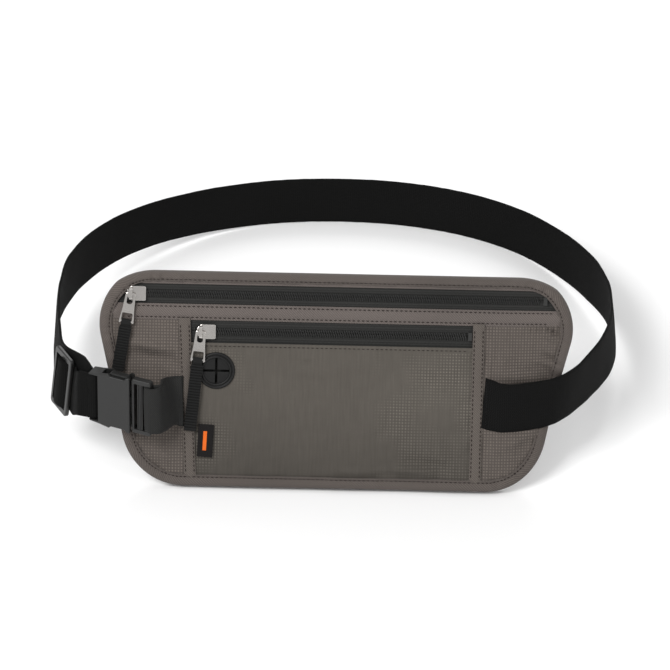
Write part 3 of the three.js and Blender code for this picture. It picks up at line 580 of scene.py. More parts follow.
def crease_depth(u, v):
    total = 0.0
    for u0, v0, u1, v1, half, high in CREASES:
        length2 = (u1 - u0) ** 2 + (v1 - v0) ** 2
        share = ((u - u0) * (u1 - u0) + (v - v0) * (v1 - v0)) / length2
        if not -0.5 < share < 1.5:
            continue
        held = min(max(share, 0.0), 1.0)
        away = math.hypot(u - mix(u0, u1, held), v - mix(v0, v1, held))
        if away < 3 * half:
            total += high * math.exp(-((away / half) ** 2)) * (0.35 + 0.65 * math.sin(math.pi * held))
    return total


def port_calm(u, v):
    return smooth_step(math.hypot(u + 70.4, v - 70.2), 12, 22)


def quiet(u, v):
    """0 where hard pieces sit on the cloth, 1 away from them."""
    port = port_calm(u, v)
    sliders = smooth_step(u, -112, -96) if v > 104 else 1.0
    lower_slider = smooth_step(math.hypot(u + 76.5, v - 93.5), 8, 16)
    zips = 1 - 0.85 * smooth_step(v, 80, 87)
    return port * sliders * lower_slider * zips


def drift(u, v):
    slow = noise.noise(Vector((u * 0.021, v * 0.028, 3.7)))
    return 0.9 * slow * quiet(u, v)


def relief(u, v):
    """Extra depth of the front panels: gathers, creases and the pocket's swell."""
    gathers = 0.45 * math.sin(u * 2 * math.pi / 3.4) * smooth_step(u, 108, 116) * math.exp(-(((v - 98) / 3.2) ** 2))
    fine = 0.28 * noise.noise(Vector((u * 0.11, v * 0.13, 9.1)))
    swell = 1.3 * math.sin(math.pi * min(max((v - 8) / 78, 0), 1)) * smooth_step(u, -60, -20) * (
        1 - smooth_step(u, 50, 78))
    creased = 2.6 * crease_depth(u, v) + 2.0 * gathers
    return creased * port_calm(u, v) + (2.4 * fine + swell) * quiet(u, v)


def drawn_in(u):
    """The sewn cloth ends up a little narrower than its flat outline, more so on the strap's side."""
    return u - 0.045 * max(u - 92, 0) + 0.03 * max(-u - 100, 0)


def pressed_down(v):
    """The turned top edge, above the upper zip, is pressed a little lower by its binding."""
    return v - 0.27 * max(v - 121.4, 0)


def soft_face(u, v, d):
    return on_face(drawn_in(u), pressed_down(v), d + wing_bend(u, v) + drift(u, v))


print("wing pulled back by", round(-wing_bend(136, STRAP_V), 1), "mm at the strap")

# %% [markdown]
# ## Front panels
# Five panels make the front: a strip above the upper zip, a strip between the zips, a wing on each side and the lower
# pocket's panel. Each is a sheet that is a little wider than its window, because its edges go under the binding and
# the tapes. The pocket's panel has a folded hem along the top.

# %% Panel helper
CLOTH = 0.6
FRONT = 5.6
UPPER_LOW, UPPER_HIGH = 109.6, 121.4
LOWER_LOW, LOWER_HIGH = 86.8, 100.2
TAPE_LEFT, TAPE_RIGHT, TAPE_WIDTH = (-84.6, -89.4), (83.0, 83.0), 7.0
EDGE_INSET = 2.2


def tape_at(places, v):
    return mix(places[0], places[1], v / LOWER_HIGH)


def stitch_dip(distance, deep=0.3, half=0.7):
    return -deep * math.exp(-((distance / half) ** 2))


# A cut piece's flat size is its own outline without seam allowance.
CUT_ROWS, SMALLEST_CUT = 24, 10.1


def panel(name, left, right, low, high, depth, finish, slot, node, step=1.6, thick=CLOTH):
    """A sheet between side functions of height and bottom and top functions of the share along."""
    wide = max(abs(right(v) - left(v)) for v in (low(0.5), high(0.5)))
    tall = max(high(share) - low(share) for share in (0.0, 0.5, 1.0))
    columns, rows = max(4, round(wide / step)), max(4, round(tall / step))

    def place(s, t):
        v = mix(low(s), high(s), t)
        u = mix(left(v), right(v), s)
        return soft_face(u, v, depth(u, v)), (u, v)

    heights = [mix(low(0.5), high(0.5), (row + 0.5) / CUT_ROWS) for row in range(CUT_ROWS)]
    spans = [right(v) - left(v) for v in heights]
    area = sum(spans) / CUT_ROWS * (high(0.5) - low(0.5))
    piece = grid_piece(name, columns, rows, place, finish, thick)
    settle(piece, "pouch", slot, node)
    print(name, columns, "x", rows, "cells")
    return piece


def rim(sign, inset=EDGE_INSET):
    return lambda v: sign * half_width(v, inset)


print("panel helper ready")

# %% Front panels
def top_low(share):
    """The strip above the zip turns down at its right-hand end, with the binding."""
    return UPPER_HIGH - 7.5 * smooth_step(share, 0.95, 1.0)


panel("top_strip_cloth", rim(-1), rim(1), top_low, lambda s: HEIGHT - EDGE_INSET,
      lambda u, v: FRONT + 0.2 + stitch_dip(v - UPPER_HIGH - 1.3) + 0.3 * relief(u, v),
      strip_cloth, "panel_fabric", "top_strip", 1.5)
panel("middle_strip_cloth", rim(-1), rim(1), lambda s: LOWER_HIGH - 0.2, lambda s: UPPER_LOW,
      lambda u, v: FRONT + 0.35 + stitch_dip(v - UPPER_LOW + 1.5) + stitch_dip(v - LOWER_HIGH - 1.4)
      + 0.25 * math.cos((v - LOWER_HIGH) / (UPPER_LOW - LOWER_HIGH) * 2 * math.pi) * -1 + 0.35 * relief(u, v),
      strip_cloth, "panel_fabric", "middle_strip", 0.9)
panel("left_wing_cloth", rim(-1), lambda v: tape_at(TAPE_LEFT, v), lambda s: EDGE_INSET, lambda s: LOWER_HIGH + 0.6,
      lambda u, v: FRONT + relief(u, v), wing_cloth, "ripstop_fabric", "left_wing", 1.0)
panel("right_wing_cloth", lambda v: tape_at(TAPE_RIGHT, v), rim(1), lambda s: EDGE_INSET, lambda s: LOWER_HIGH + 0.6,
      lambda u, v: FRONT + relief(u, v), wing_cloth, "ripstop_fabric", "right_wing", 1.0)


def pocket_depth(u, v):
    hem = 0.45 * smooth_step(v, LOWER_LOW - 3.4, LOWER_LOW - 2.6) + 0.6 * math.exp(-(((v - LOWER_LOW + 0.6) / 0.7) ** 2))
    beside_tape = -0.5 * (math.exp(-(((u - tape_at(TAPE_LEFT, v) - 4.2) / 1.2) ** 2))
                          + math.exp(-(((u - tape_at(TAPE_RIGHT, v) + 4.2) / 1.2) ** 2)))
    return FRONT + relief(u, v) + hem + stitch_dip(v - LOWER_LOW + 1.9) + 0.5 * beside_tape


panel("lower_pocket_cloth", lambda v: tape_at(TAPE_LEFT, v) + 1.0, lambda v: tape_at(TAPE_RIGHT, v) - 1.0,
      lambda s: EDGE_INSET, lambda s: LOWER_LOW, pocket_depth, pocket_cloth, "pocket_fabric", "lower_pocket_panel", 1.1)
PORT_PLACE, PORT_HOLE = (-70.4, 70.2), 7.4


def cut_round_hole(piece, place, radius):
    """Takes away the cloth whose middle lies within the radius of the place."""
    form = bmesh.new()
    form.from_mesh(piece.data)
    gone = [face for face in form.faces
            if math.dist(face_place(face.calc_center_median())[:2], place) < radius]
    bmesh.ops.delete(form, geom=gone, context="FACES")
    form.to_mesh(piece.data)
    form.free()
    return len(gone)


print("front panels done, port hole:", cut_round_hole(bpy.data.objects["lower_pocket_cloth"], PORT_PLACE, PORT_HOLE))

# %% [markdown]
# ## Earphone port
# A rubber ring is riveted through the cloth, with four soft flaps inside that meet in a cross. The ring is one
# profile turned round: a flat flange, a groove and a raised lip. Each flap is a quarter of a thin disc that is cut
# out with two planes, so that the slits between them are real gaps.

# %% Earphone port
RING_PROFILE = [
    # distance from the middle, depth from the face
    (7.6, 5.4), (7.6, 7.0), (7.9, 7.45), (8.5, 7.6), (8.9, 7.3), (9.1, 6.75), (9.4, 6.7), (9.6, 7.1), (10.1, 7.25),
    (10.7, 7.0), (11.0, 6.5), (11.0, 6.1), (9.0, 6.0), (9.0, 5.4),
]
FLAP_RADIUS, FLAP_GAP = 7.8, 0.65
to_face = Matrix((face_right, face_up, face_out)).transposed().to_4x4()
port_centre = on_face(*PORT_PLACE, 0)


def place_on_port(form):
    """Millimetres round the port's middle become the pouch's place."""
    bmesh.ops.scale(form, verts=form.verts, vec=(MM, MM, MM))
    bmesh.ops.transform(form, verts=form.verts, matrix=Matrix.Translation(port_centre) @ to_face)
    bmesh.ops.recalc_face_normals(form, faces=form.faces)


ring_form = bmesh.new()
profile = [ring_form.verts.new((distance, 0, depth)) for distance, depth in RING_PROFILE]
edges = [ring_form.edges.new(pair) for pair in zip(profile, profile[1:] + profile[:1])]
bmesh.ops.spin(ring_form, geom=profile + edges, axis=(0, 0, 1), cent=(0, 0, 0), angle=2 * math.pi, steps=72,
               use_merge=True)
place_on_port(ring_form)
port_ring = finish_piece("port_ring_rubber", ring_form, port_rubber)
settle(port_ring, "pouch", "port_rubber", "port_ring")

flap_form = bmesh.new()
for quarter in range(4):
    flap = bmesh.new()
    bmesh.ops.create_circle(flap, cap_ends=True, radius=FLAP_RADIUS, segments=64)
    for normal in ((1, 0, 0), (0, 1, 0)):
        bmesh.ops.bisect_plane(flap, geom=flap.verts[:] + flap.edges[:] + flap.faces[:], plane_co=(FLAP_GAP, FLAP_GAP, 0),
                               plane_no=normal, clear_inner=True)
    grown = bmesh.ops.extrude_face_region(flap, geom=flap.faces[:])
    raised = [item for item in grown["geom"] if isinstance(item, bmesh.types.BMVert)]
    bmesh.ops.translate(flap, verts=raised, vec=(0, 0, 0.8))
    bmesh.ops.translate(flap, verts=flap.verts, vec=(0, 0, 6.0))
    bmesh.ops.recalc_face_normals(flap, faces=flap.faces)
    bmesh.ops.bevel(flap, geom=[edge for edge in flap.edges if edge.verts[0].co.z > 6.5 and edge.verts[1].co.z > 6.5],
                    offset=0.2, segments=2, profile=0.5, affect="EDGES", material=-1)
    bmesh.ops.rotate(flap, verts=flap.verts, cent=(0, 0, 0), matrix=Matrix.Rotation(quarter * math.pi / 2, 3, "Z"))
    part = bpy.data.meshes.new("flap")
    flap.to_mesh(part)
    flap.free()
    flap_form.from_mesh(part)
    bpy.data.meshes.remove(part)
place_on_port(flap_form)
port_flaps = finish_piece("port_flap_rubber", flap_form, port_rubber, smooth=False)
settle(port_flaps, "pouch", "port_rubber", "port_flaps")
print("port ring and four flaps:", len(port_ring.data.polygons) + len(port_flaps.data.polygons), "faces")

# %% [markdown]
# ## Linings and the padded back
# Two plain linings lie inside and divide the main pocket from the front pocket. The back is a soft spacer mesh over
# thin foam, which swells between the binding's seams, so it is a padded piece: its outer side is a pillow.

# %% Linings and back
for lining_name, lining_depth, lining_node, lining_under in (
        ("main_pocket_lining_sheet", 1.9, "main_pocket_lining", "back_pad_mesh"),
        ("front_pocket_lining_sheet", 3.0, "front_pocket_lining", "main_pocket_lining_sheet")):
    panel(lining_name, rim(-1), rim(1), lambda s: EDGE_INSET, lambda s: HEIGHT - EDGE_INSET,
          lambda u, v, deep=lining_depth: deep, lining_cloth, "lining", lining_node, 4.0, 0.4)

PAD_CELLS = (96, 48)


def pad_swell(u, v):
    inward = min(half_width(v, BINDING) - abs(u), v - BINDING, HEIGHT - BINDING - v)
    channels = 0.55 * math.exp(-(((abs(v - HEIGHT / 2) - 19) / 1.6) ** 2))
    return 2.6 * smooth_step(inward, -1, 9) - channels


def pad_place(s, t):
    low, high = EDGE_INSET, HEIGHT - EDGE_INSET
    v = mix(low, high, t)
    u = mix(half_width(v, EDGE_INSET), -half_width(v, EDGE_INSET), s)
    return soft_face(u, v, 0.9 - pad_swell(u, v)), (u, v)


back_pad = grid_piece("back_pad_mesh", *PAD_CELLS, pad_place, mesh_cloth, 0.0)
pad_wall = back_pad.modifiers.new("thickness", "SOLIDIFY")
pad_wall.thickness = 1.2 * MM
pad_wall.offset = -1.0
settle(back_pad, "pouch", "spacer_mesh", "back_panel")
print("back pad cells:", PAD_CELLS)

# %% [markdown]
# ## Edge binding
# A strip of twill tape is folded over the edge of all the layers and sewn through. It is swept round the outline: the
# section runs from the back, round the edge and onto the front, where it swells between the edge and the stitching.
# The tape gathers a little, more so in the corners.

# %% Path round the outline
def outline_points(step):
    """Points and inward directions round the pouch, evenly spaced, anticlockwise from the middle of the bottom."""
    corners = []
    right = [(0.0, 0.0)]
    for centre, radius, start, stop in ((bottom_centre, BOTTOM_RADIUS, -math.pi / 2, -side_slope),
                                        (top_centre, TOP_RADIUS, -side_slope, math.pi / 2)):
        for turn in range(41):
            angle = mix(start, stop, turn / 40)
            right.append((centre[0] + radius * math.cos(angle), centre[1] + radius * math.sin(angle)))
    right.append((0.0, HEIGHT))
    corners = right + [(-u, v) for u, v in reversed(right[1:-1])]
    corners.append(corners[0])
    lengths = [0.0]
    for first, second in zip(corners, corners[1:]):
        lengths.append(lengths[-1] + math.dist(first, second))
    count = round(lengths[-1] / step)
    points, place = [], 0
    for index in range(count + 1):
        distance = lengths[-1] * index / count
        while place < len(lengths) - 2 and lengths[place + 1] < distance:
            place += 1
        share = (distance - lengths[place]) / (lengths[place + 1] - lengths[place])
        first, second = corners[place], corners[place + 1]
        points.append((mix(first[0], second[0], share), mix(first[1], second[1], share)))
    rows = []
    for index, (u, v) in enumerate(points):
        before = points[index - 1] if index else points[-2]
        after = points[index + 1] if index < count else points[1]
        along_u, along_v = after[0] - before[0], after[1] - before[1]
        size = math.hypot(along_u, along_v)
        rows.append((u, v, -along_v / size, along_u / size))
    return rows, lengths[-1]


rim_rows, rim_length = outline_points(1.3)
print("binding runs", round(rim_length), "mm round the pouch in", len(rim_rows), "steps")

# %% Binding
STITCH_INSET = 5.9
BINDING_SECTION = [
    # inward distance, depth
    (7.6, -1.9), (6.4, -2.2), (4.8, -2.15), (3.0, -2.0), (1.5, -1.5), (0.5, -0.4), (0.05, 1.4), (0.05, 3.4),
    (0.45, 5.2), (1.3, 6.35), (2.6, 6.95), (4.0, 7.05), (5.2, 6.8), (5.9, 6.5), (6.5, 6.75), (7.0, 6.75), (7.15, 6.2),
]


def binding_give(u, v, depth, inward):
    """How far the gathered tape stands out at a place."""
    corner = smooth_step(abs(u), 78, 105) * 0.9 + 0.6
    pucker = noise.noise(Vector((u * 0.22, v * 0.22, depth * 0.12))) * 0.7
    gather = noise.noise(Vector((u * 0.6, v * 0.6, 5.0))) * 0.55
    overlap = 0.55 * smooth_step(u, -5.3, -4.7) * (1 - smooth_step(u, 6, 40)) if v < 12 else 0.0
    return ((pucker + gather) * corner * (1 if depth > 2 else -1) + overlap) * smooth_step(inward, 0.2, 2.5)


def binding_place(s, t):
    row = min(round(t * (len(rim_rows) - 1)), len(rim_rows) - 1)
    u, v, in_u, in_v = rim_rows[row]
    at = s * (len(BINDING_SECTION) - 1)
    first = min(int(at), len(BINDING_SECTION) - 2)
    inward = mix(BINDING_SECTION[first][0], BINDING_SECTION[first + 1][0], at - first)
    depth = mix(BINDING_SECTION[first][1], BINDING_SECTION[first + 1][1], at - first)
    depth += binding_give(u, v, depth, inward)
    inward += 0.35 * noise.noise(Vector((u * 0.09, v * 0.09, 1.0))) * smooth_step(inward, 5.5, 7.0)
    u, v = u + in_u * inward, v + in_v * inward
    length = s * 24.0
    return soft_face(u, v, depth), (length, t * rim_length)


binding = grid_piece("edge_binding_tape", 32, len(rim_rows) - 1, binding_place, binding_cloth, 0.5, closed=True)
settle(binding, "pouch", "binding_tape", "edge_binding")
print("binding faces:", len(binding.data.polygons))

# %% [markdown]
# ## Vertical tapes
# A folded tape covers each side seam of the lower pocket. It is narrow, so it gets a slight crown across its width
# and two dips where it is sewn.

# %% Vertical tapes
def tape_depth_at(across_share):
    return 0.35 * math.sin(math.pi * across_share) + stitch_dip((across_share - 0.14) * TAPE_WIDTH, 0.25, 0.6) \
        + stitch_dip((across_share - 0.86) * TAPE_WIDTH, 0.25, 0.6)


for side, places in (("left", TAPE_LEFT), ("right", TAPE_RIGHT)):
    def edge(sign, where=places):
        return lambda v: tape_at(where, v) + sign * TAPE_WIDTH / 2

    panel(f"pocket_{side}_tape_cloth", edge(-1), edge(1), lambda s: BINDING - 1.5, lambda s: LOWER_HIGH + 1.2,
          lambda u, v, where=places: 6.35 + tape_depth_at((u - tape_at(where, v)) / TAPE_WIDTH + 0.5)
          + 0.2 * noise.noise(Vector((u * 0.3, v * 0.09, 2.0))),
          tape_cloth, "fold_tape", f"pocket_tape_{side}", 0.8, 0.5)
print("tapes done")

# %% [markdown]
# ## Zips
# Each zip is two woven tapes whose edges carry a nylon coil. A coil is one long wire wound in flat loops, so it is a
# thin tube swept along a flattened helix, and the two coils are half a turn apart, which locks them together.

# %% Zip tapes
ZIPS = {
    "upper": {"low": UPPER_LOW, "high": UPPER_HIGH, "left": -122.5, "right": 122.5},
    "lower": {"low": LOWER_LOW, "high": LOWER_HIGH, "left": -84.5, "right": 79.0},
}
ZIP_DEPTH, COIL_DEPTH = 4.8, 5.75
for zip_name, zipper in ZIPS.items():
    middle = (zipper["low"] + zipper["high"]) / 2
    ends = (rim(-1), rim(1)) if zip_name == "upper" else (lambda v: -88.0, lambda v: 83.5)
    for half, low, high in (("top", middle + 0.1, zipper["high"] + 1.2), ("bottom", zipper["low"] - 2.4, middle - 0.1)):
        panel(f"{zip_name}_zip_{half}_cloth", ends[0], ends[1], lambda s, at=low: at, lambda s, at=high: at,
              lambda u, v, at=middle: ZIP_DEPTH + 0.25 * math.exp(-(((abs(v - at) - 3.3) / 0.5) ** 2)),
              zip_cloth, "zip_tape", f"{zip_name}_zip_tape_{half}", 0.9, 0.45)
print("zip tapes done")

# %% Zip coils
COIL_PITCH, WIRE, COIL_SIDES, COIL_STEPS = 1.35, 0.27, 5, 9


def coil(name, left, right, middle, side, node):
    turns = int((right - left) / COIL_PITCH)
    centre_v = middle + side * 0.95

    def wire_place(angle):
        u = left + COIL_PITCH * (angle / (2 * math.pi) + (0.25 if side > 0 else 0.75))
        return Vector((u, centre_v + 1.15 * math.cos(angle), COIL_DEPTH + 0.42 * math.sin(angle)))

    def place(s, t):
        angle = t * turns * 2 * math.pi
        centre = wire_place(angle)
        ahead = (wire_place(angle + 0.02) - wire_place(angle - 0.02)).normalized()
        first = ahead.cross(Vector((1, 0, 0))).normalized()
        second = ahead.cross(first)
        ring = s * 2 * math.pi
        point = centre + (first * math.cos(ring) + second * math.sin(ring)) * WIRE
        return soft_face(*point), (s, t)

    piece = grid_piece(name, COIL_SIDES, turns * COIL_STEPS, place, coil_nylon, closed=True)
    return settle(piece, "pouch", "zip_coil", node), turns


for zip_name, zipper in ZIPS.items():
    middle = (zipper["low"] + zipper["high"]) / 2
    for half, side in (("top", 1), ("bottom", -1)):
        piece, turns = coil(f"{zip_name}_coil_{half}", zipper["left"] + 0.6, zipper["right"] - 2.8, middle, side,
                            f"{zip_name}_zip_coil_{half}")
        print(piece.name, turns, "turns")

# %% [markdown]
# ## Webbing
# The strap is one flat band, so it is modelled directly. A smooth route through a few places, each with the lean of
# the band's upper edge, gives a centre line and a width direction at every step. The band curls very slightly across
# its width, and its edges are rolled.

# %% Route helper
WEBBING_WIDTH, WEBBING_THICK = 30.0, 1.3


def smooth_route(places, step):
    """Evenly spaced (centre, lean) along a centripetal curve through (point, lean) pairs, points in metres."""
    points = [Vector(point) for point, _ in places]
    leans = [lean for _, lean in places]
    ahead = [points[0] * 2 - points[1], *points, points[-1] * 2 - points[-2]]
    dense = []
    for index in range(len(points) - 1):
        p0, p1, p2, p3 = ahead[index:index + 4]
        t1 = (p1 - p0).length ** 0.5
        t2 = t1 + (p2 - p1).length ** 0.5
        t3 = t2 + (p3 - p2).length ** 0.5
        for cut in range(40):
            t = mix(t1, t2, cut / 40)
            a1 = p0 * ((t1 - t) / t1) + p1 * (t / t1)
            a2 = p1 * ((t2 - t) / (t2 - t1)) + p2 * ((t - t1) / (t2 - t1))
            a3 = p2 * ((t3 - t) / (t3 - t2)) + p3 * ((t - t2) / (t3 - t2))
            b1 = a1 * ((t2 - t) / t2) + a2 * (t / t2)
            b2 = a2 * ((t3 - t) / (t3 - t1)) + a3 * ((t - t1) / (t3 - t1))
            c = b1 * ((t2 - t) / (t2 - t1)) + b2 * ((t - t1) / (t2 - t1))
            dense.append((c, mix(leans[index], leans[index + 1], smooth_step(cut / 40, 0, 1))))
    dense.append((points[-1], leans[-1]))
    lengths = [0.0]
    for (first, _), (second, _) in zip(dense, dense[1:]):
        lengths.append(lengths[-1] + (second - first).length)
    count = max(4, round(lengths[-1] / (step * MM)))
    route, place = [], 0
    for index in range(count + 1):
        distance = lengths[-1] * index / count
        while place < len(lengths) - 2 and lengths[place + 1] < distance:
            place += 1
        share = (distance - lengths[place]) / max(lengths[place + 1] - lengths[place], 1e-9)
        route.append((dense[place][0].lerp(dense[place + 1][0], share), mix(dense[place][1], dense[place + 1][1], share)))
    return route, lengths[-1] / MM


def webbing(name, places, finish, step=1.6, width=WEBBING_WIDTH, thick=WEBBING_THICK, waves=0.25, flip=False):
    """A band along a route. A positive lean tips the upper edge outward, to the right of the way it runs."""
    route, length = smooth_route(places, step)
    frames = []
    for index, (centre, lean) in enumerate(route):
        tangent = (route[min(index + 1, len(route) - 1)][0] - route[max(index - 1, 0)][0]).normalized()
        outward = Vector((tangent.y, -tangent.x, 0)).normalized()
        angle = math.radians(lean)
        up = Vector((0, 0, math.cos(angle))) + outward * math.sin(angle)
        frames.append((centre, up, tangent.cross(up).normalized()))

    def place(s, t):
        row = min(round(t * (len(frames) - 1)), len(frames) - 1)
        centre, up, out = frames[row]
        across = (s - 0.5) * width
        curl = -0.35 * (2 * s - 1) ** 2
        ripple = waves * noise.noise(Vector((t * length * 0.045, across * 0.06, len(name) * 1.3)))
        edge = 0.12 * noise.noise(Vector((t * length * 0.2, s * 3, 4.0)))
        return centre + up * (across + edge) * MM + out * (curl + ripple) * MM, (t * length, across)

    piece = grid_piece(name, 14, len(frames) - 1, place, finish, thick)
    print(name, "is", round(length), "mm long")
    return piece


print("route helper ready")

# %% [markdown]
# ## The long strap
# The strap is sewn at the pouch's right-hand tape, follows the wing back round the wearer, comes to the left behind
# the tri-glide and ends at the buckle's socket. It is one band.

# %% The long strap
SEAM_RIGHT = 86.8
BAND_OUT = 6.55


def on_wing(u, v, extra=0.0):
    return on_face(u, v, BAND_OUT + extra + wing_bend(u, v) + drift(u, v) * 0.5)


def in_model(x, y, z):
    """A place measured from the pouch's foot, with the model's own directions."""
    return face_origin + Vector((x, y, z)) * MM


circle_offset = math.sin(GLIDE_LEAN) * 4.2
BEHIND_GLIDE = 4.2


def on_circle(turn, height=0.0):
    angle = math.radians(turn)
    radius = circle_radius / MM - BEHIND_GLIDE * math.cos(GLIDE_LEAN)
    return circle_centre + Vector((-math.sin(angle) * radius, -math.cos(angle) * radius, circle_offset + height)) * MM


strap_places = [
    (on_wing(SEAM_RIGHT, 54.4, 0.1), -20), (on_wing(89.5, 53.4, 0.3), -19), (on_wing(96, 51.8, 1.8), -13),
    (on_wing(104, 51.4, 2.8), -9), (on_wing(112, 51.8, 3.4), -8), (on_wing(120, 52.6, 4.2), -8),
    (on_wing(127.5, 54.2, 5.4), -5), (in_model(135.5, 27.0, 50.0), -2), (in_model(143.3, 39.5, 48.4), -1),
    (in_model(151.2, 56.5, 46.0), -3), (in_model(158.6, 75, 43.0), -5), (in_model(164.8, 95, 39.9), -7),
    (in_model(168.9, 116, 36.6), -7), (in_model(170.6, 136, 33.4), -6),
    (in_model(168.9, 176, 27.4), -2), (in_model(159.4, 214.8, 21.8), 6), (in_model(142.7, 251.6, 17.0), 8),
    (in_model(117.4, 282.4, 15.2), 8), (in_model(83.2, 303.7, 15.0), 8), (in_model(43.6, 315.8, 15.0), 8),
    (in_model(2.5, 319.4, 15.0), 8), (in_model(-37.5, 315.9, 15.2), 8), (in_model(-75.4, 302.8, 16.8), 7),
    (in_model(-108, 279.7, 21.4), 5), (in_model(-134.3, 248.8, 27.8), 5), (in_model(-154.2, 212, 34.2), 5),
    (in_model(-166.6, 172, 40.3), 2), (in_model(-171.3, 131, 45.2), -4), (in_model(-170.4, 97, 48.2), -6),
    (on_circle(84.8), -7), (on_circle(78), -7), (on_circle(71, 2.0), -7), (on_circle(64, 5.0), -7),
    (on_circle(57, 7.6), -7), (on_circle(51, 9.0), -6), (on_buckle(-27, -6.5, 1.4), -3),
    (on_buckle(-21.1, -2.75, 0.4), 0),
]
long_strap = webbing("long_strap", strap_places, black_webbing, 1.8)
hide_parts("strap_right_end", "strap_loop")
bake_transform(long_strap)

# %% [markdown]
# ## The strap's ends at the tri-glide and the socket
# From the socket's bar the strap comes back as an outer layer, goes over the tri-glide's middle bar and on behind. The
# sewn end is a small sleeve round that bar. The outer layer runs between the socket and the tri-glide.

# %% Strap ends
outer_layer = webbing("strap_outer_band", [
    (on_glide(9.6, -2.1), -7), (on_glide(11.2, -1.9), -7), (on_glide(15, -1.0), -5), (on_buckle(-26.5, 3.6), -2),
    (on_buckle(-23, 3.3), -1), (on_buckle(-20.2, 2.8), 0),
], black_webbing, 1.0, waves=0.6)
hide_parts("strap_outer_layer")
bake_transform(outer_layer)

socket_loop = webbing("strap_socket_band", [
    (on_buckle(-20.8, -2.75), 0), (on_buckle(-18.2, -2.6), 0), (on_buckle(-16, -2.0), 0), (on_buckle(-15.2, 0), 0),
    (on_buckle(-16, 2.0), 0), (on_buckle(-18.2, 2.6), 0), (on_buckle(-20.8, 2.75), 0),
], black_webbing, 0.6, thick=1.2, waves=0.0)
settle(socket_loop, "strap", "black_webbing", "strap_socket_loop")

over_bar = webbing("strap_bar_band", [
    (on_glide(-10.6, -2.15), -7), (on_glide(-8.4, -2.05), -7), (on_glide(-6.6, -1.1), -7), (on_glide(-5, 0.9), -7),
    (on_glide(-3.2, 2.5), -7), (on_glide(0, 2.95), -7), (on_glide(3.2, 2.5), -7), (on_glide(5, 0.9), -7),
    (on_glide(6.6, -1.1), -7), (on_glide(8.4, -2.05), -7), (on_glide(10.2, -2.15), -7),
], black_webbing, 0.6, thick=1.1, waves=0.05)
settle(over_bar, "triglide", "black_webbing", "strap_over_bar")


def sleeve_place(s, t):
    turn = s * 2 * math.pi
    round_x, round_out = math.cos(turn), math.sin(turn)
    x = 2.35 * math.copysign(abs(round_x) ** 0.6, round_x)
    out = 1.62 * math.copysign(abs(round_out) ** 0.6, round_out)
    height = (t - 0.5) * WEBBING_WIDTH
    return on_glide(x, out, height), (s * 13, height)


sleeve = grid_piece("strap_end_sleeve_band", 36, 20, sleeve_place, black_webbing, closed=True)
sleeve_wall = sleeve.modifiers.new("thickness", "SOLIDIFY")
sleeve_wall.thickness = 0.8 * MM
sleeve_wall.offset = 0.0
settle(sleeve, "triglide", "black_webbing", "strap_end_sleeve")
print("strap ends done")

# %% [markdown]
# ## Short webbing
# A short loop of softer webbing comes from under the left-hand tape, goes through the plug and back, and its upper
# edge waves because the two layers are pushed together.

# %% Short webbing
SEAM_LEFT = tape_at(TAPE_LEFT, STRAP_V + 15) - TAPE_WIDTH / 2 + 1.5
short_band = webbing("short_webbing_band", [
    (on_face(SEAM_LEFT, 51.6, 6.9), 20), (on_face(SEAM_LEFT - 3, 51.6, 6.9), 20),
    (on_face(SEAM_LEFT - 5.5, 51.7, 8.0), 20), (on_face(-99, 52.6, 13.2), 10), (on_buckle(23.4, -4.4), 3), (on_buckle(20.2, -2.5), 0), (on_buckle(17.4, -2.4), 0),
    (on_buckle(16, -1.45), 0), (on_buckle(15.75, 0), 0), (on_buckle(16, 1.45), 0), (on_buckle(17.4, 2.4), 0),
    (on_buckle(20.6, 2.7), 0), (on_buckle(24.6, 0.2), -3), (on_face(-97.4, 52.4, 15.6), -12),
    (on_face(SEAM_LEFT - 5.2, 52.0, 10.6), -16), (on_face(SEAM_LEFT - 3, 51.8, 8.9), -20),
    (on_face(SEAM_LEFT, 51.8, 8.3), -20),
], grey_webbing, 0.9, waves=0.5)
settle(short_band, "pouch", "black_webbing", "short_webbing")

# %% [markdown]
# ## Side tag
# A woven label is folded over and caught in the pocket's side seam. It is plain black, with one satin-stitched bar.

# %% Side tag
TAG_SIZE = (9.3, 19.5)
TAG_TURN = math.radians(2.5)
tag_low, tag_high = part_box("side_tag")
tag_u, tag_v, tag_d = face_place((tag_low + tag_high) / 2)


def tag_point(x, height, depth):
    """A place on the tag: x out from the seam, height from its lower edge, depth from its middle."""
    x, height = x - TAG_SIZE[0] / 2, height - TAG_SIZE[1] / 2
    return on_face(tag_u + x * math.cos(TAG_TURN) + height * math.sin(TAG_TURN),
                   tag_v - x * math.sin(TAG_TURN) + height * math.cos(TAG_TURN), tag_d + depth)


def tag_place(s, t):
    way = (s - 0.5) * 2
    x = TAG_SIZE[0] - 0.4 - (TAG_SIZE[0] - 0.2) * max(abs(way) - 0.06, 0) + 0.35 * math.cos(min(abs(way) / 0.06, 1) * math.pi / 2)
    depth = 0.36 * math.sin(max(min(way / 0.06, 1), -1) * math.pi / 2)
    lift = 0.5 * smooth_step(x, 3, 9) + 0.25 * math.sin(t * 5.0) * smooth_step(x, 2, 9)
    return tag_point(x, t * TAG_SIZE[1], depth + lift * 0.6), (way * TAG_SIZE[0], t * TAG_SIZE[1])


tag = grid_piece("side_tag_label", 60, 26, tag_place, label_cloth, 0.3)
settle(tag, "pouch", "woven_label", "side_tag")


def mark_place(s, t):
    x, height = mix(3.4, 5.6, s), mix(4.0, 15.5, t)
    lift = 0.5 * smooth_step(x, 3, 9) + 0.25 * math.sin(height / TAG_SIZE[1] * 5.0) * smooth_step(x, 2, 9)
    ridge = 0.06 * math.sin(t * 26 * 2 * math.pi)
    return tag_point(x, height, 0.36 + 0.24 + lift * 0.6 + ridge), (x, height)


mark = grid_piece("side_tag_bar", 6, 104, mark_place, orange_thread, 0.15)
settle(mark, "pouch", "woven_label")
print("tag at", [round(value, 1) for value in (tag_u, tag_v, tag_d)])

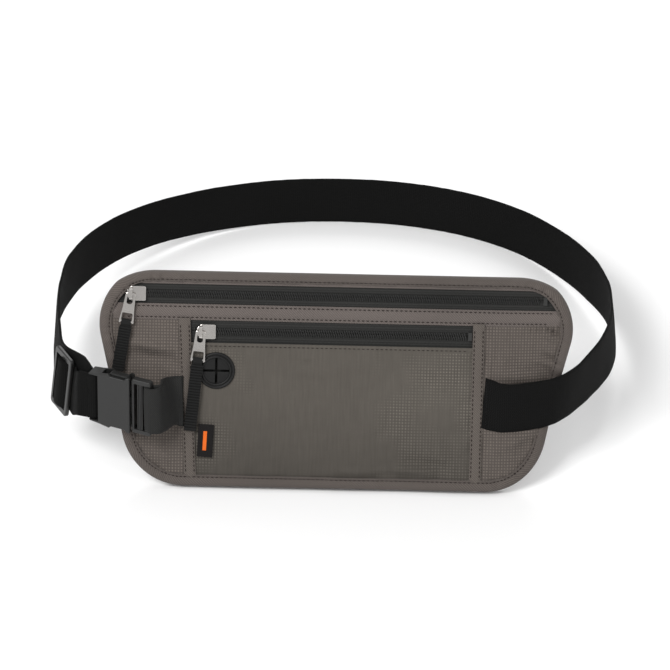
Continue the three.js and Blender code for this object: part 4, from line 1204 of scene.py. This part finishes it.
# %% [markdown]
# ## Stitching
# Each stitch is a tiny stretched ball with twenty faces, sunk a little into the cloth. Rows run along the binding,
# both strips, the pocket's hem and the tapes, and a bar of close stitches holds the strap.

# %% Stitch rows
def add_stitch(form, start, end, outward, fat=0.34):
    along = (end - start) / 2
    side = along.cross(outward).normalized()
    basis = Matrix((along, side * fat * MM, outward.normalized() * fat * 0.8 * MM)).transposed().to_4x4()
    bmesh.ops.create_icosphere(form, subdivisions=1, radius=1.0, matrix=Matrix.Translation((start + end) / 2) @ basis)


def stitch_row(form, place, length, pitch=2.7, filled=0.72):
    """Stitches along place(distance), which gives a point of the pouch as (u, v, d)."""
    count = int(length / pitch)
    for index in range(count):
        begin = (index + 0.14) * pitch
        add_stitch(form, soft_face(*place(begin)), soft_face(*place(begin + pitch * filled)), face_out)
    return count


rows = bmesh.new()
made = 0


def binding_stitch(distance):
    at = distance / rim_length * (len(rim_rows) - 1)
    first = min(int(at), len(rim_rows) - 2)
    u, v, in_u, in_v = (mix(one, two, at - first) for one, two in zip(rim_rows[first], rim_rows[first + 1]))
    return u + in_u * STITCH_INSET, v + in_v * STITCH_INSET, 6.92 + binding_give(u, v, 6.5, STITCH_INSET)


made += stitch_row(rows, binding_stitch, rim_length)
for row_v, left, right, deep in (
        (UPPER_LOW - 1.5, -126, 128, FRONT + 0.52), (LOWER_HIGH + 1.4, -124, 126, FRONT + 0.52),
        (LOWER_LOW - 1.9, -83, 79, FRONT + 0.62)):
    def straight(distance, v=row_v, start=left, depth=deep):
        u = start + distance
        return u, v, depth + (0.35 if v > LOWER_LOW else 1.0) * relief(u, v)

    made += stitch_row(rows, straight, right - left)
for places in (TAPE_LEFT, TAPE_RIGHT):
    for side in (-1, 1):
        def upright(distance, where=places, way=side):
            v = 8.5 + distance
            return tape_at(where, v) + way * (TAPE_WIDTH / 2 - 1.0), v, 6.72

        made += stitch_row(rows, upright, 90.0)
stitching = finish_piece("pouch_stitching", rows, brown_thread)
settle(stitching, "pouch", "black_thread")
print(made, "stitches on the pouch")

# %% Bar of stitches on the strap
bar = bmesh.new()
BAR_STITCHES = 26
for index in range(BAR_STITCHES):
    v = 54 - 13 + 26 * (index + 0.5) / BAR_STITCHES
    zig = 1.1 if index % 2 else 0.0
    start = on_wing(SEAM_RIGHT + 1.2 + zig, v - 0.45, 0.95)
    end = on_wing(SEAM_RIGHT + 2.3 - zig, v + 0.45, 0.95)
    add_stitch(bar, start, end, face_out, 0.26)
strap_bar = finish_piece("bartack_stitches", bar, black_thread)
settle(strap_bar, "pouch", "black_thread", "bartack_right")
print(BAR_STITCHES, "stitches in the bar")
